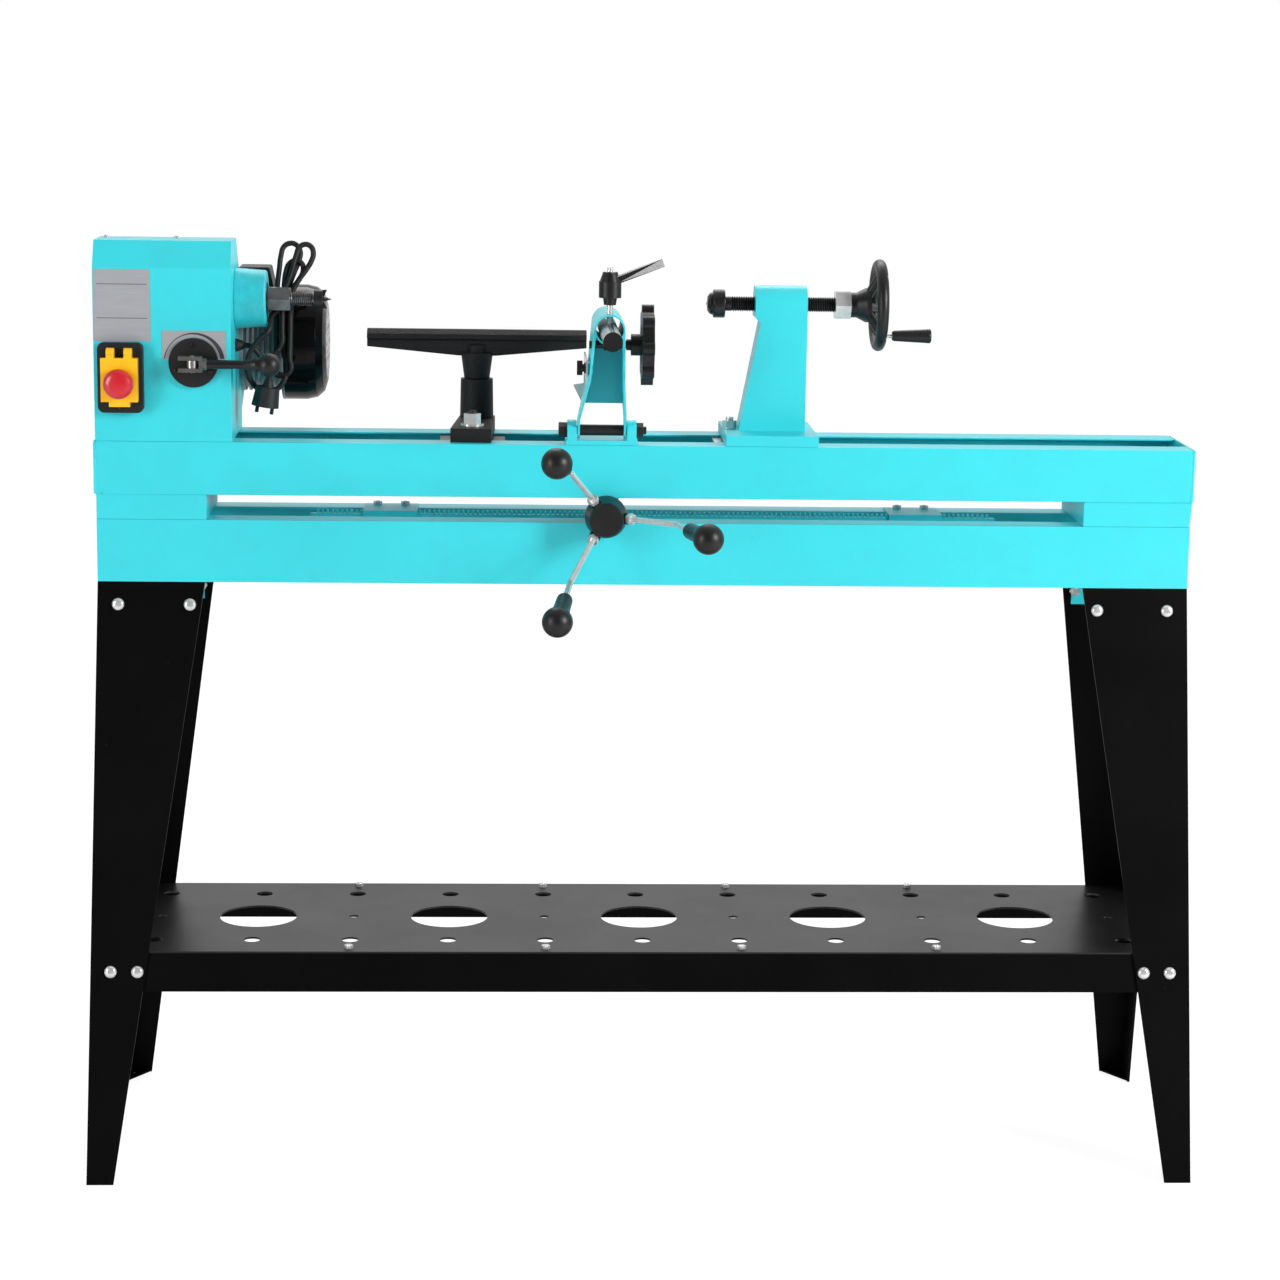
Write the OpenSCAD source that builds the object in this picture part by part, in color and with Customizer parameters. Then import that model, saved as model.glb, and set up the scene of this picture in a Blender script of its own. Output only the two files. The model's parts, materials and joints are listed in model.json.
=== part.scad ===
// Wood lathe with a copying attachment on a sheet-metal stand.
// Millimetres. +X runs along the bed away from the headstock, +Y to the back, +Z up.
// The origin is on the floor, in the middle of the four anchor holes in the feet.

/* [Bed] */
// Length of the bed rails
bed_length = 1400; // [1300:10:1700]
// Width over the front and rear rails
bed_width = 156; // [150:1:190]
// Height of the bed's top above the floor
bed_top = 936; // [800:1:1150]
// Height of an upper rail
rail_height = 68; // [60:1:84]
// Height of the long slot between the upper and lower rails
slot_height = 32; // [32:1:40]
// Height of a lower rail
lower_rail_height = 80; // [60:1:100]
// Width of a rail's folded flanges
rail_flange = 40; // [34:1:42]
// Sheet thickness of rails, housing and column
sheet = 3; // [2:0.5:4]
// Length of the spacer tubes at both ends of the slot
spacer_length = 139; // [100:1:170]

/* [Stand] */
// Distance between the front and rear feet, outside
foot_spread = 444; // [380:2:560]
// Width of a leg's broad face at the top
leg_top_width = 136; // [110:1:165]
// Width of a leg's broad face at the floor
leg_foot_width = 34; // [30:1:42]
// Depth of a leg's side face at the floor
foot_depth = 50; // [40:1:60]
// How far a foot stands out past the bed's end
foot_lean = 10; // [4:1:14]
// Sheet thickness of the legs
leg_sheet = 3; // [2:0.5:4]
// Height of the shelf's top
shelf_height = 292; // [200:1:360]
// Height of the shelf rails
shelf_lip = 48; // [42:1:70]
// Sheet thickness of the shelf
shelf_sheet = 2.5; // [2:0.5:4]
// Distance between the large shelf holes
hole_pitch = 253; // [230:1:300]
// Diameter of the large shelf holes
hole_d = 102; // [60:1:120]

/* [Headstock] */
// Height of the spindle above the bed
centre_height = 175; // [165:1:210]
// Length of the housing
head_length = 172; // [172:1:210]
// Height of the housing above the spindle
head_rise = 76; // [66:1:120]
// Height of the housing's upright front above the spindle
front_rise = 43; // [30:1:58]
// Diameter of the spindle in its bearings
spindle_d = 20; // [15:1:24]
// Outside diameter of the spindle nose
nose_d = 18; // [14:1:20]
// Hexagon of the spindle collar across its corners
collar_d = 33; // [28:1:36]
// Outside diameter of the spindle bearings
bearing_d = 47; // [42:1:52]
// Distance of the motor shaft behind the spindle
motor_back = 96; // [94:1:104]
// Distance of the motor shaft below the spindle
motor_drop = 64; // [56:1:70]
// Outside diameter of the motor's end cover
motor_d = 150; // [130:1:152]

/* [Tool rest] */
// Length of the tool rest blade
rest_length = 286; // [200:1:288]
// Diameter of the tool rest post
post_d = 25; // [20:1:27]
// Place of the tool rest along the bed
rest_x = -222; // [-232:1:-221]

/* [Copier] */
// Place of the copier along the bed
copier_x = -54; // [-56:1:-50]
// Outside diameter of the guide tube
tube_d = 38.4; // [37:0.1:40]
// Diameter of the cutter bar
bar_d = 24; // [20:1:24]
// Length of the cutter bar
bar_length = 260; // [240:1:262]
// Diameter of the pivot bolt
pivot_d = 10; // [8:1:12]
// Diameter of the feed wheel
feed_wheel_d = 101; // [80:1:108]

/* [Tailstock] */
// Place of the tailstock column's front face along the bed
tail_x = 204; // [204:1:240]
// Diameter of the threaded quill
quill_d = 19.2; // [16:0.2:22]
// Diameter of the tailstock wheel
tail_wheel_d = 118; // [100:1:140]

/* [Hidden] */
$fn = 64;

// Fits
running = 0.05; // radial clearance of a turning or sliding fit
easy = 0.3; // clearance of loose parts
joined = 1; // length by which one solid's own shapes overlap

// Levels and planes
front = -bed_width / 2;
rear = bed_width / 2;
end_x = bed_length / 2;
rail_bottom = bed_top - rail_height;
slot_bottom = rail_bottom - slot_height;
bed_bottom = slot_bottom - lower_rail_height;
axis_z = bed_top + centre_height;
trough = bed_width / 2 - rail_flange;

// Stand
splay = atan((foot_spread - bed_width) / 2 / bed_bottom);
foot_x = end_x + foot_lean;
foot_y = foot_spread / 2;
anchor_in = [11, 13]; // anchor hole from the foot's corner, along X and Y
anchor_r = 4.5;
tab_height = 50;
bolt_r = 4;
bolt_hole_r = bolt_r + 0.2;
top_bolts = [26, 117]; // from the bed's end
top_bolt_drop = 29;
low_bolts = [19, 53];
shelf_under = shelf_height - shelf_sheet;
low_bolt_drop = (bed_bottom - shelf_height + 25) / cos(splay);
shelf_flange = 30;
small_hole_y = 109;
shelf_screw_y = 148;
shelf_screw_steps = [-3, -1, 1, 3];
half_pitch = hole_pitch / 2;

// Headstock
head_left = -end_x;
head_right = head_left + head_length;
head_top = axis_z + head_rise;
boss_length = 40;
boss_end = head_right + boss_length;
bearing_w = 14;
collar_end = boss_end + 30;
nose_end = collar_end + 30;
motor_y = motor_back;
motor_z = axis_z - motor_drop;
pulley_x = head_right - 84;
pulley_w = 34;
spindle_pulley_r = 42;
motor_pulley_r = 28;
belt_w = 10;
speed_x = head_right - 47;
speed_z = bed_top + 100;
lever_y = front - 20;
disc_t = 6;
switch_x = head_right - 137.5;
switch_z = bed_top + 81;
bezel_t = 14;
flap_t = 12;
flap_face = front - bezel_t - flap_t;
plate_t = 0.6;
grommet_y = -10;
grommet_z = bed_top + 116;

// Tool rest
rest_post_y = 62;
banjo_bolt_y = -32;
banjo_h = 18;
banjo_yaw = -3;
clamp_bolt_r = 5;
post_r = post_d / 2;
socket_r = 21;
socket_top = bed_top + 69;
blade_top = bed_top + 133;

// Copier
pivot_y = front + 12;
pivot_z = bed_top + 18;
pivot_r = pivot_d / 2;
ear_r = 15;
ear_t = 12;
foot_left = 37; // the tower's feet from the copier's middle plane, outside
foot_right = 25;
ear_play = 1; // between a foot and its ear
plate_h = 6;
tube_z = bed_top + 152.7;
tube_front = front - 72;
tube_length = 130;
tube_rear = tube_front + tube_length;
tube_r = tube_d / 2;
bore_r = tube_r - 2.2;
bar_r = bar_d / 2;
bar_z = tube_z - bore_r + bar_r + easy;
bar_front = front - 177;
feed_module = 1;
feed_teeth = 13;
feed_pitch_r = feed_module * feed_teeth / 2;
rack_line = bar_z - bar_r + 1.8;
feed_y = front - 32;
feed_z = rack_line - feed_pitch_r;
strip_x = copier_x - 26;
stud_y = tube_front + 15;

// Capstan
capstan_z = slot_bottom + 10;
capstan_module = 2;
capstan_teeth = 9;
capstan_pitch_r = capstan_module * capstan_teeth / 2;
rack_pitch = PI * capstan_module;
rack_line_z = capstan_z - capstan_pitch_r;
rack_left = -434;
rack_right = 458;
rack_t = 8;
shaft_r = 7;
hub_back = front - 6;
hub_front = hub_back - 41;
hub_front_r = 20;
hub_back_r = 27;
rod_r = 3.75;
nut_away = 41.5; // from where a rod's line meets the axis to its nut
rod_root = [0, hub_back]; // where the rods' lines meet the shaft's axis: radius, Y
rod_bend = [84, hub_back - 91];
ball_place = [117, hub_back - 216];
knob_length = 73; // from the neck's end to the middle of the ball
ball_r = 19;
rod_angles = [-2.7, -125, -236.5];

// Tailstock
tail_left = tail_x - 105;
tail_right = tail_x + 13;
tail_base_h = 13.5;
column_left = tail_x - 67;
column_r = 24;
quill_r = quill_d / 2;
tail_bolt_x = tail_left + 9;
nut_x = tail_x + 37;
wheel_x = nut_x + 20;
rim_x = wheel_x + 37;
rim_r = 7.5;
crank_r = 50;
crank_angle = 226;
crank_y = crank_r * cos(crank_angle);
crank_z = axis_z + crank_r * sin(crank_angle);

// Mains lead: routes of its two free stretches, chosen by hand
cord_r = 3.5;
// routes of the mains lead, from the housing's right wall and the top of the bed
lead_in = [[4, -10, 116], [12, -10, 116], [20, -10, 114], [27, -9, 108],
    [33, -6, 100], [40, -1, 93], [47, 4, 89]];
lead_out = [[52, 6, 107], [51, -3, 106], [49, -12, 104], [46.7, -20, 99.5],
    [45.5, -26, 92], [44.9, -28, 82.4], [43.5, -28, 73.5]];
loose_turn = [[54, 20, 158], [49, 11, 156.5], [46, 2, 153.5], [44.5, -7, 149],
    [44.5, -15, 142.5], [42.5, -21, 135.5], [35, -22, 128.5], [28, -22, 121],
    [21.5, -22, 112], [17, -21, 102], [14.8, -19.5, 91], [16, -16.5, 80],
    [20, -13, 70], [26.5, -9, 61.5], [35, -5.5, 56.5], [44, -3.5, 55.5],
    [52.5, -2, 59.5], [59, -0.5, 67], [63, 1.5, 76.5], [65, 4, 88]];
bundle_line = [[73.5, 220, 19], [60, 182, 11.5], [58, 82, 13]]; // X, Z and half width
bundle_t = 14;
bundle_lean = 14;
bundle_mid_y = 26;
plug_top = [43.5, -28, 73.5];
bundle_turn_z = 175; // height at which the leaning hank is bundle_mid_y behind the spindle
plug_tilt = 9;

steel = [0.72, 0.73, 0.75];
dark_steel = [0.25, 0.25, 0.26];
paint = [0.30, 0.86, 0.90];
black = [0.05, 0.05, 0.055];

// ---------- shared shapes ----------

// A hexagon nut or head standing on z = 0
module hex(across, h) {
    cylinder(h = h, d = across / cos(30), $fn = 6);
}

// Turns what stands along +Z to lie along +X
module along_x() {
    rotate([0, 90, 0]) children();
}

// Turns what stands along +Z to lie along +Y
module along_back() {
    rotate([-90, 0, 0]) children();
}

// Turns what stands along +Z to lie along -Y
module along_front() {
    rotate([90, 0, 0]) children();
}

// Extrudes a Y-Z outline along +X from x0
module slab_x(x0, length) {
    translate([x0, 0, 0]) rotate([90, 0, 90]) linear_extrude(length) children();
}

// Extrudes an X-Z outline along +Y from y0
module slab_y(y0, length) {
    translate([0, y0 + length, 0]) rotate([90, 0, 0]) linear_extrude(length) children();
}

// Rectangle with round corners, about the origin
module round_rect(w, h, r) {
    square([w - 2 * r, h], center = true);
    square([w, h - 2 * r], center = true);
    for (sx = [-1, 1], sy = [-1, 1])
        translate([sx * (w / 2 - r), sy * (h / 2 - r)]) circle(r);
}

// Outline of a gear with straight-sided teeth; the first gap points down
module gear_outline(m, teeth) {
    root = m * teeth / 2 - 1.25 * m;
    tip = m * teeth / 2 + m;
    step = 360 / teeth;
    polygon([for (i = [0:teeth - 1], p = [[root, -0.27], [tip, -0.09], [tip, 0.09], [root, 0.27]])
        let (a = -90 + step * (i + 0.5 + p[1])) p[0] * [cos(a), sin(a)]]);
}

// Points of rack teeth standing up from height 0 along x, one tooth centred on each step
function rack_points(m, first, last) = [for (i = [first:last],
    p = [[-0.29, -1.25], [-0.11, 1], [0.11, 1], [0.29, -1.25]])
    [(i + p[0]) * PI * m, p[1] * m]];

// Tube of radius r swept along a list of points
function unit(v) = v / norm(v);
function tangent(p, i) = unit(p[min(i + 1, len(p) - 1)] - p[max(i - 1, 0)]);
module cord_tube(p, r, sides = 8) {
    rings = [for (i = [0:len(p) - 1]) let (
        t = tangent(p, i),
        u = unit(cross(t, [0.1, 1, 0.2])),
        v = cross(t, u))
        for (k = [0:sides - 1]) p[i] + r * (cos(360 * k / sides) * u + sin(360 * k / sides) * v)];
    last = (len(p) - 1) * sides;
    walls = [for (i = [0:len(p) - 2], k = [0:sides - 1]) let (n = (k + 1) % sides)
        for (f = [[i * sides + k, i * sides + n, (i + 1) * sides + n],
                  [i * sides + k, (i + 1) * sides + n, (i + 1) * sides + k]]) f];
    caps = [[for (k = [sides - 1:-1:0]) k], [for (k = [0:sides - 1]) last + k]];
    polyhedron(points = rings, faces = concat(walls, caps));
}

// ---------- stand ----------

// The tilted plane of a front leg's outer face, hinged on the bed's lower front edge
module leg_plane() {
    translate([0, front, bed_bottom]) rotate([-splay, 0, 0]) children();
}

// Places a bolt or a hole in the leg's plane, its axis square to the plane, +Z outwards
module in_leg(x, drop) {
    leg_plane() translate([x, 0, -drop]) along_front() children();
}

// All bolt places of the front left leg
module leg_bolt_places() {
    for (x = top_bolts) in_leg(-end_x + x, top_bolt_drop) children();
    for (x = low_bolts) in_leg(-end_x + x, low_bolt_drop) children();
}

function past(a, b) = a + (b - a) * 1.02;

// The front left leg
module leg() {
    reach = bed_bottom / cos(splay);
    side = [[front, bed_bottom], [-4, bed_bottom], [past(-4, -foot_y + foot_depth), past(bed_bottom, 0)],
        [past(front, -foot_y), past(bed_bottom, 0)]];
    color(black) difference() {
        intersection() {
            translate([-end_x - 50, -foot_spread, 0]) cube([end_x, foot_spread, bed_bottom]);
            union() {
                leg_plane() slab_y(0, leg_sheet) polygon([[-end_x, 0], [-end_x + leg_top_width, 0],
                    [past(-end_x + leg_top_width, -foot_x + leg_foot_width), -1.02 * reach],
                    [past(-end_x, -foot_x), -1.02 * reach]]);
                translate([-end_x, 0, bed_bottom]) rotate([0, atan(foot_lean / bed_bottom), 0])
                    translate([0, 0, -bed_bottom]) slab_x(0, leg_sheet) polygon(side);
                linear_extrude(leg_sheet) polygon([[-foot_x, -foot_y],
                    [-foot_x + leg_foot_width, -foot_y], [-foot_x, -foot_y + foot_depth]]);
            }
        }
        leg_bolt_places() translate([0, 0, -20]) cylinder(h = 30, r = bolt_hole_r);
        translate([-foot_x + anchor_in[0], -foot_y + anchor_in[1], -1]) cylinder(h = 10, r = anchor_r);
    }
}

module leg_front_left() { leg(); }
module leg_front_right() { mirror([1, 0, 0]) leg(); }
module leg_rear_left() { mirror([0, 1, 0]) leg(); }
module leg_rear_right() { mirror([1, 0, 0]) mirror([0, 1, 0]) leg(); }

// Where the shelf meets the inside of the front legs
shelf_edge = front - tan(splay) * (bed_bottom - shelf_height) + leg_sheet / cos(splay) + 0.4;

module shelf_plate() {
    color([0.12, 0.12, 0.125]) difference() {
        translate([-end_x, shelf_edge, shelf_under]) cube([bed_length, -2 * shelf_edge, shelf_sheet]);
        for (i = [-2:2]) translate([i * hole_pitch, 0, shelf_under - 1]) cylinder(h = 9, d = hole_d);
        for (i = [-5:5], s = [-1, 1])
            translate([i * half_pitch, s * small_hole_y, shelf_under - 1]) cylinder(h = 9, r = 11);
        for (i = [-5:2:5]) translate([i * half_pitch, 0, shelf_under - 1]) cylinder(h = 9, r = 6);
        for (i = shelf_screw_steps, s = [-1, 1])
            translate([i * half_pitch, s * shelf_screw_y, shelf_under - 1]) cylinder(h = 9, r = 3.2);
    }
}

module shelf_rail() {
    flange_y = shelf_edge + sheet / 2;
    difference() {
        union() {
            intersection() {
                translate([-end_x, -foot_spread, shelf_under - shelf_lip])
                    cube([bed_length, foot_spread, shelf_lip]);
                leg_plane() translate([-end_x, leg_sheet, -bed_bottom * 1.1])
                    cube([bed_length, sheet, bed_bottom * 1.1]);
            }
            translate([-end_x, flange_y, shelf_under - sheet]) cube([bed_length, shelf_flange, sheet]);
        }
        for (m = [0, 1]) mirror([m, 0, 0]) for (x = low_bolts)
            in_leg(-end_x + x, low_bolt_drop) translate([0, 0, -20]) cylinder(h = 30, r = bolt_hole_r);
        for (i = shelf_screw_steps)
            translate([i * half_pitch, -shelf_screw_y, shelf_under - 10]) cylinder(h = 20, r = 3.2);
    }
}

module shelf_rails() {
    color(black) for (m = [0, 1]) mirror([0, m, 0]) shelf_rail();
}

// Dome-headed bolt through the leg and what is behind it, with its nut
module leg_bolt() {
    grip = leg_sheet + sheet;
    rotate_extrude() polygon([[0, -grip - 9], [bolt_r, -grip - 9], [bolt_r, 0], [8, 0], [7.4, 2],
        [5.4, 3.7], [2.6, 4.5], [0, 4.6]]);
    difference() {
        translate([0, 0, -grip - 6.5]) hex(13, 6.5);
        translate([0, 0, -grip - 10]) cylinder(h = 20, r = bolt_r);
    }
}

module leg_bolts() {
    color(steel) for (mx = [0, 1], my = [0, 1])
        mirror([mx, 0, 0]) mirror([0, my, 0]) leg_bolt_places() leg_bolt();
}

// Small screw along Z from under the head at z = 0 down, with its nut
module nut_screw(r, grip) {
    translate([0, 0, -grip - 3.5]) cylinder(h = 3.5, r = 1.8 * r);
    translate([0, 0, -grip - 1]) cylinder(h = grip + 6, r = r);
    hex(3.4 * r, 4.5);
}

bracket_bolt_y = trough + 10;
bracket_bolts = [-349, -313, 336, 372];
cover_screws = [[head_left + 9, 0], [head_right - 74, 0]];

module machine_screws() {
    color(steel) {
        for (i = shelf_screw_steps, s = [-1, 1])
            translate([i * half_pitch, s * shelf_screw_y, shelf_height]) nut_screw(3, shelf_sheet + sheet);
        for (x = bracket_bolts)
            translate([x, bracket_bolt_y, slot_bottom + sheet]) nut_screw(3, 2 * sheet);
        for (p = cover_screws) translate([p[0], p[1], head_top]) {
            translate([0, 0, -7]) cylinder(h = 7, r = 2);
            cylinder(h = 2.4, r1 = 4, r2 = 2.8);
        }
    }
}

// ---------- bed ----------

// Channel rail at the front, open to the inside
module channel(z0, h) {
    difference() {
        translate([-end_x, front, z0]) cube([bed_length, rail_flange, h]);
        translate([-end_x - 1, front + sheet, z0 + sheet]) cube([bed_length + 2, rail_flange, h - 2 * sheet]);
    }
}

module bed_rails() {
    color(paint) for (m = [0, 1]) mirror([0, m, 0]) channel(rail_bottom, rail_height);
}

// Lower rail with the welded tabs that the legs are bolted to
module lower_rail() {
    difference() {
        union() {
            channel(bed_bottom, lower_rail_height);
            for (m = [0, 1]) mirror([m, 0, 0]) intersection() {
                translate([-end_x, -foot_spread, bed_bottom - tab_height])
                    cube([end_x, foot_spread, tab_height + 1]);
                leg_plane() translate([-end_x + leg_sheet + 1, leg_sheet, -2 * tab_height])
                    cube([leg_top_width - 20, sheet, 3 * tab_height]);
            }
        }
        for (m = [0, 1]) mirror([m, 0, 0]) for (x = top_bolts)
            in_leg(-end_x + x, top_bolt_drop) translate([0, 0, -20]) cylinder(h = 30, r = bolt_hole_r);
    }
}

module lower_rails() {
    color(paint) difference() {
        for (m = [0, 1]) mirror([0, m, 0]) lower_rail();
        for (x = bracket_bolts)
            translate([x, bracket_bolt_y, slot_bottom - 10]) cylinder(h = 20, r = 3.2);
    }
}

// Spacer tubes between the rails, and the plates that close the upper rails' ends
module bed_ends() {
    color(paint) for (m = [0, 1]) mirror([m, 0, 0]) {
        difference() {
            translate([-end_x, front, slot_bottom]) cube([spacer_length, bed_width, slot_height]);
            translate([-end_x - 1, front + sheet, slot_bottom + sheet])
                cube([spacer_length - sheet + 1, bed_width - 2 * sheet, slot_height - 2 * sheet]);
        }
        translate([-end_x - sheet, front, rail_bottom]) cube([sheet, bed_width, rail_height]);
    }
}

// Toothed rack on edge along the middle of the bed, with two riveted brackets
module rack_bar() {
    root_z = rack_line_z - 1.25 * capstan_module;
    bar_bottom = slot_bottom - 36;
    first = ceil((rack_left - copier_x) / rack_pitch) + 1;
    last = floor((rack_right - copier_x) / rack_pitch) - 1;
    color(paint) {
        difference() {
            union() {
                translate([rack_left, -rack_t / 2, bar_bottom])
                    cube([rack_right - rack_left, rack_t, root_z - bar_bottom]);
                slab_y(-rack_t / 2, rack_t) translate([copier_x, rack_line_z])
                    polygon(concat([[last * rack_pitch, -3], [first * rack_pitch, -3]],
                        rack_points(capstan_module, first, last)));
                for (x = [-366, 319]) {
                    translate([x, -rack_t / 2 - sheet, slot_bottom - 30]) cube([70, sheet + 1, 30 + sheet]);
                    translate([x, -rack_t / 2 - sheet, slot_bottom])
                        cube([70, rack_t / 2 + sheet + trough + 22, sheet]);
                    translate([x, -rack_t / 2, root_z - 2]) cube([70, rack_t, slot_bottom - root_z + 3]);
                }
            }
            for (x = bracket_bolts)
                translate([x, bracket_bolt_y, slot_bottom - 10]) cylinder(h = 20, r = 3.2);
        }
    }
}

// ---------- headstock ----------

// Y-Z outline of the housing, drawn in by t on all walls
module head_outline(t) {
    s = 0.55 * t;
    polygon([[front + t, bed_top - (t > 0 ? 1 : 0)], [front + t, axis_z + front_rise - s],
        [front + 20 + s, head_top - t], [14 - s, head_top - t], [50 - s, head_top - 39 - s],
        [motor_y + 34 - t, motor_z + 65 - s], [motor_y + 34 - t, motor_z - 62 + s],
        [rear - t, motor_z - 87 + s], [rear - t, bed_top - (t > 0 ? 1 : 0)]]);
}

module headstock_housing() {
    color(paint) difference() {
        slab_x(head_left, head_length) head_outline(0);
        slab_x(head_left + sheet, head_length - 2 * sheet) head_outline(sheet);
        // seat of the bearing housing
        translate([head_right - 10, 0, axis_z]) along_x() cylinder(h = 20, r = 30);
        // motor shaft's way through the wall
        translate([head_right - 10, motor_y, motor_z]) along_x() cylinder(h = 20, r = 16);
        // grommet
        translate([head_right - 10, grommet_y, grommet_z]) along_x() cylinder(h = 20, r = 7);
        // switch body and speed shaft
        translate([switch_x - 20, front - 5, switch_z - 35]) cube([40, 12, 70]);
        translate([speed_x, front + 10, speed_z]) along_front() cylinder(h = 20, r = 7.05);
        for (p = cover_screws) translate([p[0], p[1], head_top - 10]) cylinder(h = 20, r = 2.1);
    }
}

// Cast housing of the spindle bearings: a cone outside the wall, a tube inside it
module bearing_housing() {
    inside = 34;
    seat = bearing_d / 2;
    color(paint) translate([head_right, 0, axis_z]) along_x() difference() {
        rotate_extrude() polygon([[spindle_d / 2 + 4, -inside], [30, -inside], [30, 0],
            [39, 0], [38.6, 4], [36, boss_length - 1.5], [34.5, boss_length], [spindle_d / 2 + 4, boss_length]]);
        translate([0, 0, -inside - 1]) cylinder(h = bearing_w + 1, r = seat);
        translate([0, 0, boss_length - bearing_w]) cylinder(h = bearing_w + 1, r = seat);
    }
}

// Sealed ball bearing along X from x0, its shields set back from the ring faces
module bearing(x0, bore_r, outer_r, w) {
    inner = bore_r + 3;
    outer = outer_r - 3;
    back = 0.8;
    translate([x0, 0, axis_z]) along_x() rotate_extrude() polygon([[bore_r, 0], [inner, 0],
        [inner, back], [outer, back], [outer, 0], [outer_r, 0], [outer_r, w], [outer, w],
        [outer, w - back], [inner, w - back], [inner, w], [bore_r, w]]);
}

module spindle_bearings() {
    color(steel) for (x = [head_right - 34, boss_end - bearing_w])
        bearing(x, spindle_d / 2, bearing_d / 2, bearing_w);
}

module spindle() {
    r = spindle_d / 2;
    color(steel) translate([0, 0, axis_z]) {
        translate([pulley_x - pulley_w / 2 - 12, 0, 0]) along_x()
            cylinder(h = boss_end - pulley_x + pulley_w / 2 + 12 + joined, r = r - running);
        translate([boss_end + easy, 0, 0]) along_x()
            cylinder(h = collar_end - boss_end - easy, d = collar_d, $fn = 6);
        translate([collar_end - joined, 0, 0]) along_x()
            cylinder(h = nose_end - collar_end + 10, d = nose_d);
    }
}

// Four-prong drive centre screwed on the nose
module drive_centre() {
    color(dark_steel) translate([nose_end, 0, axis_z]) along_x() {
        difference() {
            union() {
                cylinder(h = 11, r = 12);
                for (a = [0:90:270]) rotate(a) translate([3.5, -1.6, 10])
                    rotate([90, 0, 0]) translate([0, 0, -3.2]) linear_extrude(3.2)
                        polygon([[0, 0], [8.4, 0], [8.4, 6.5], [0, 2.5]]);
                translate([0, 0, 10]) cylinder(h = 12, r1 = 3.5, r2 = 0.4);
            }
            translate([0, 0, -1]) cylinder(h = 10.2, d = nose_d + 0.2);
        }
    }
}

// V-pulley of two cone discs along X about x = 0
module pulley(r, bore) {
    half = pulley_w / 2;
    groove = belt_w / 2 - 2.2;
    rotate_extrude() polygon([[bore, -half], [14, -half], [14, -half + 6], [r, -groove - 5],
        [r, -groove - 3.4], [16, -groove + 2], [16, groove - 2], [r, groove + 3.4],
        [r, groove + 5], [14, half - 6], [14, half], [bore, half]]);
}

module spindle_pulley() {
    color([0.6, 0.6, 0.62]) translate([pulley_x, 0, axis_z]) along_x() pulley(spindle_pulley_r, spindle_d / 2);
}

motor_shaft_r = 7;
module motor_pulley() {
    color([0.6, 0.6, 0.62]) translate([pulley_x, motor_y, motor_z]) along_x()
        pulley(motor_pulley_r, motor_shaft_r + running);
}

// Y-Z outline of a belt loop round the two pulleys, its radii grown by t
module belt_outline(t) {
    run = norm([motor_back, motor_drop]);
    r1 = spindle_pulley_r - 10 + t;
    r2 = motor_pulley_r - 8 + t;
    lean = 90 - asin((r1 - r2) / run);
    step = 6;
    rotate(atan2(-motor_drop, motor_back)) polygon([
        for (i = [0:step:step * floor((360 - 2 * lean) / step)]) r1 * [cos(lean + i), sin(lean + i)],
        r1 * [cos(lean), -sin(lean)],
        for (i = [-lean:step:lean]) [run, 0] + r2 * [cos(i), sin(i)],
        [run, 0] + r2 * [cos(lean), sin(lean)]]);
}

module drive_belt() {
    w = belt_w - 5;
    color(black) translate([0, 0, axis_z]) slab_x(pulley_x - w / 2, w) difference() {
        belt_outline(7);
        belt_outline(1);
    }
}

// Finned motor body behind the spindle
module motor_body() {
    length = 58;
    r = motor_d / 2 - 11;
    color([0.62, 0.64, 0.66]) translate([head_right, motor_y, motor_z]) along_x() difference() {
        union() {
            cylinder(h = length, r = r - 4);
            cylinder(h = 6, r = r);
            translate([0, 0, length - 4]) cylinder(h = 4, r = motor_d / 2);
            for (i = [0:5]) translate([0, 0, 10 + i * 6.8]) cylinder(h = 3, r = r);
        }
        translate([0, 0, -1]) cylinder(h = length + 2, r = r - 10);
    }
    color([0.62, 0.64, 0.66]) translate([head_right, motor_y, motor_z]) along_x() difference() {
        cylinder(h = 4, r = r - 10);
        translate([0, 0, -1]) cylinder(h = 6, r = motor_shaft_r + running);
    }
}

module motor_end_cover() {
    length = 54;
    r = motor_d / 2;
    w = 3;
    color(black) translate([head_right + 58, motor_y, motor_z]) along_x() difference() {
        rotate_extrude() polygon([[0, 0], [r, 0], [r, length - 26], [r - 3, length - 13],
            [r - 11, length - 4], [r - 24, length], [0, length]]);
        rotate_extrude() polygon([[0, -1], [r - w, -1], [r - w, length - 27], [r - w - 3, length - 15],
            [r - w - 10, length - 7], [r - w - 22, length - w], [0, length - w]]);
        for (a = [0:30:330], d = [22, 40]) rotate(a) translate([d, 0, length - 6]) cylinder(h = 9, r = 3);
    }
}

// Rotor with its shaft, and the fan behind it
module motor_rotor() {
    r = motor_d / 2 - 27;
    start = pulley_x - pulley_w / 2 - 4;
    color(steel) translate([0, motor_y, motor_z]) {
        translate([start, 0, 0]) along_x() cylinder(h = head_right + 84 - start, r = motor_shaft_r);
        translate([head_right + 10, 0, 0]) along_x() cylinder(h = 40, r = r);
        translate([head_right + 66, 0, 0]) along_x() {
            cylinder(h = 14, r = 12);
            for (a = [0:45:315]) rotate(a) translate([10, -1, 0]) cube([44, 2, 12]);
        }
    }
}

module terminal_box() {
    top = motor_z + 101;
    color(black) slab_y(motor_y - 54, 52) polygon([[head_right + easy, motor_z + 66],
        [head_right + easy, top], [head_right + 40, top], [head_right + 45, motor_z + 78],
        [head_right + 45, motor_z + 66]]);
}

// ---------- switch, speed lever, plates ----------

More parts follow.
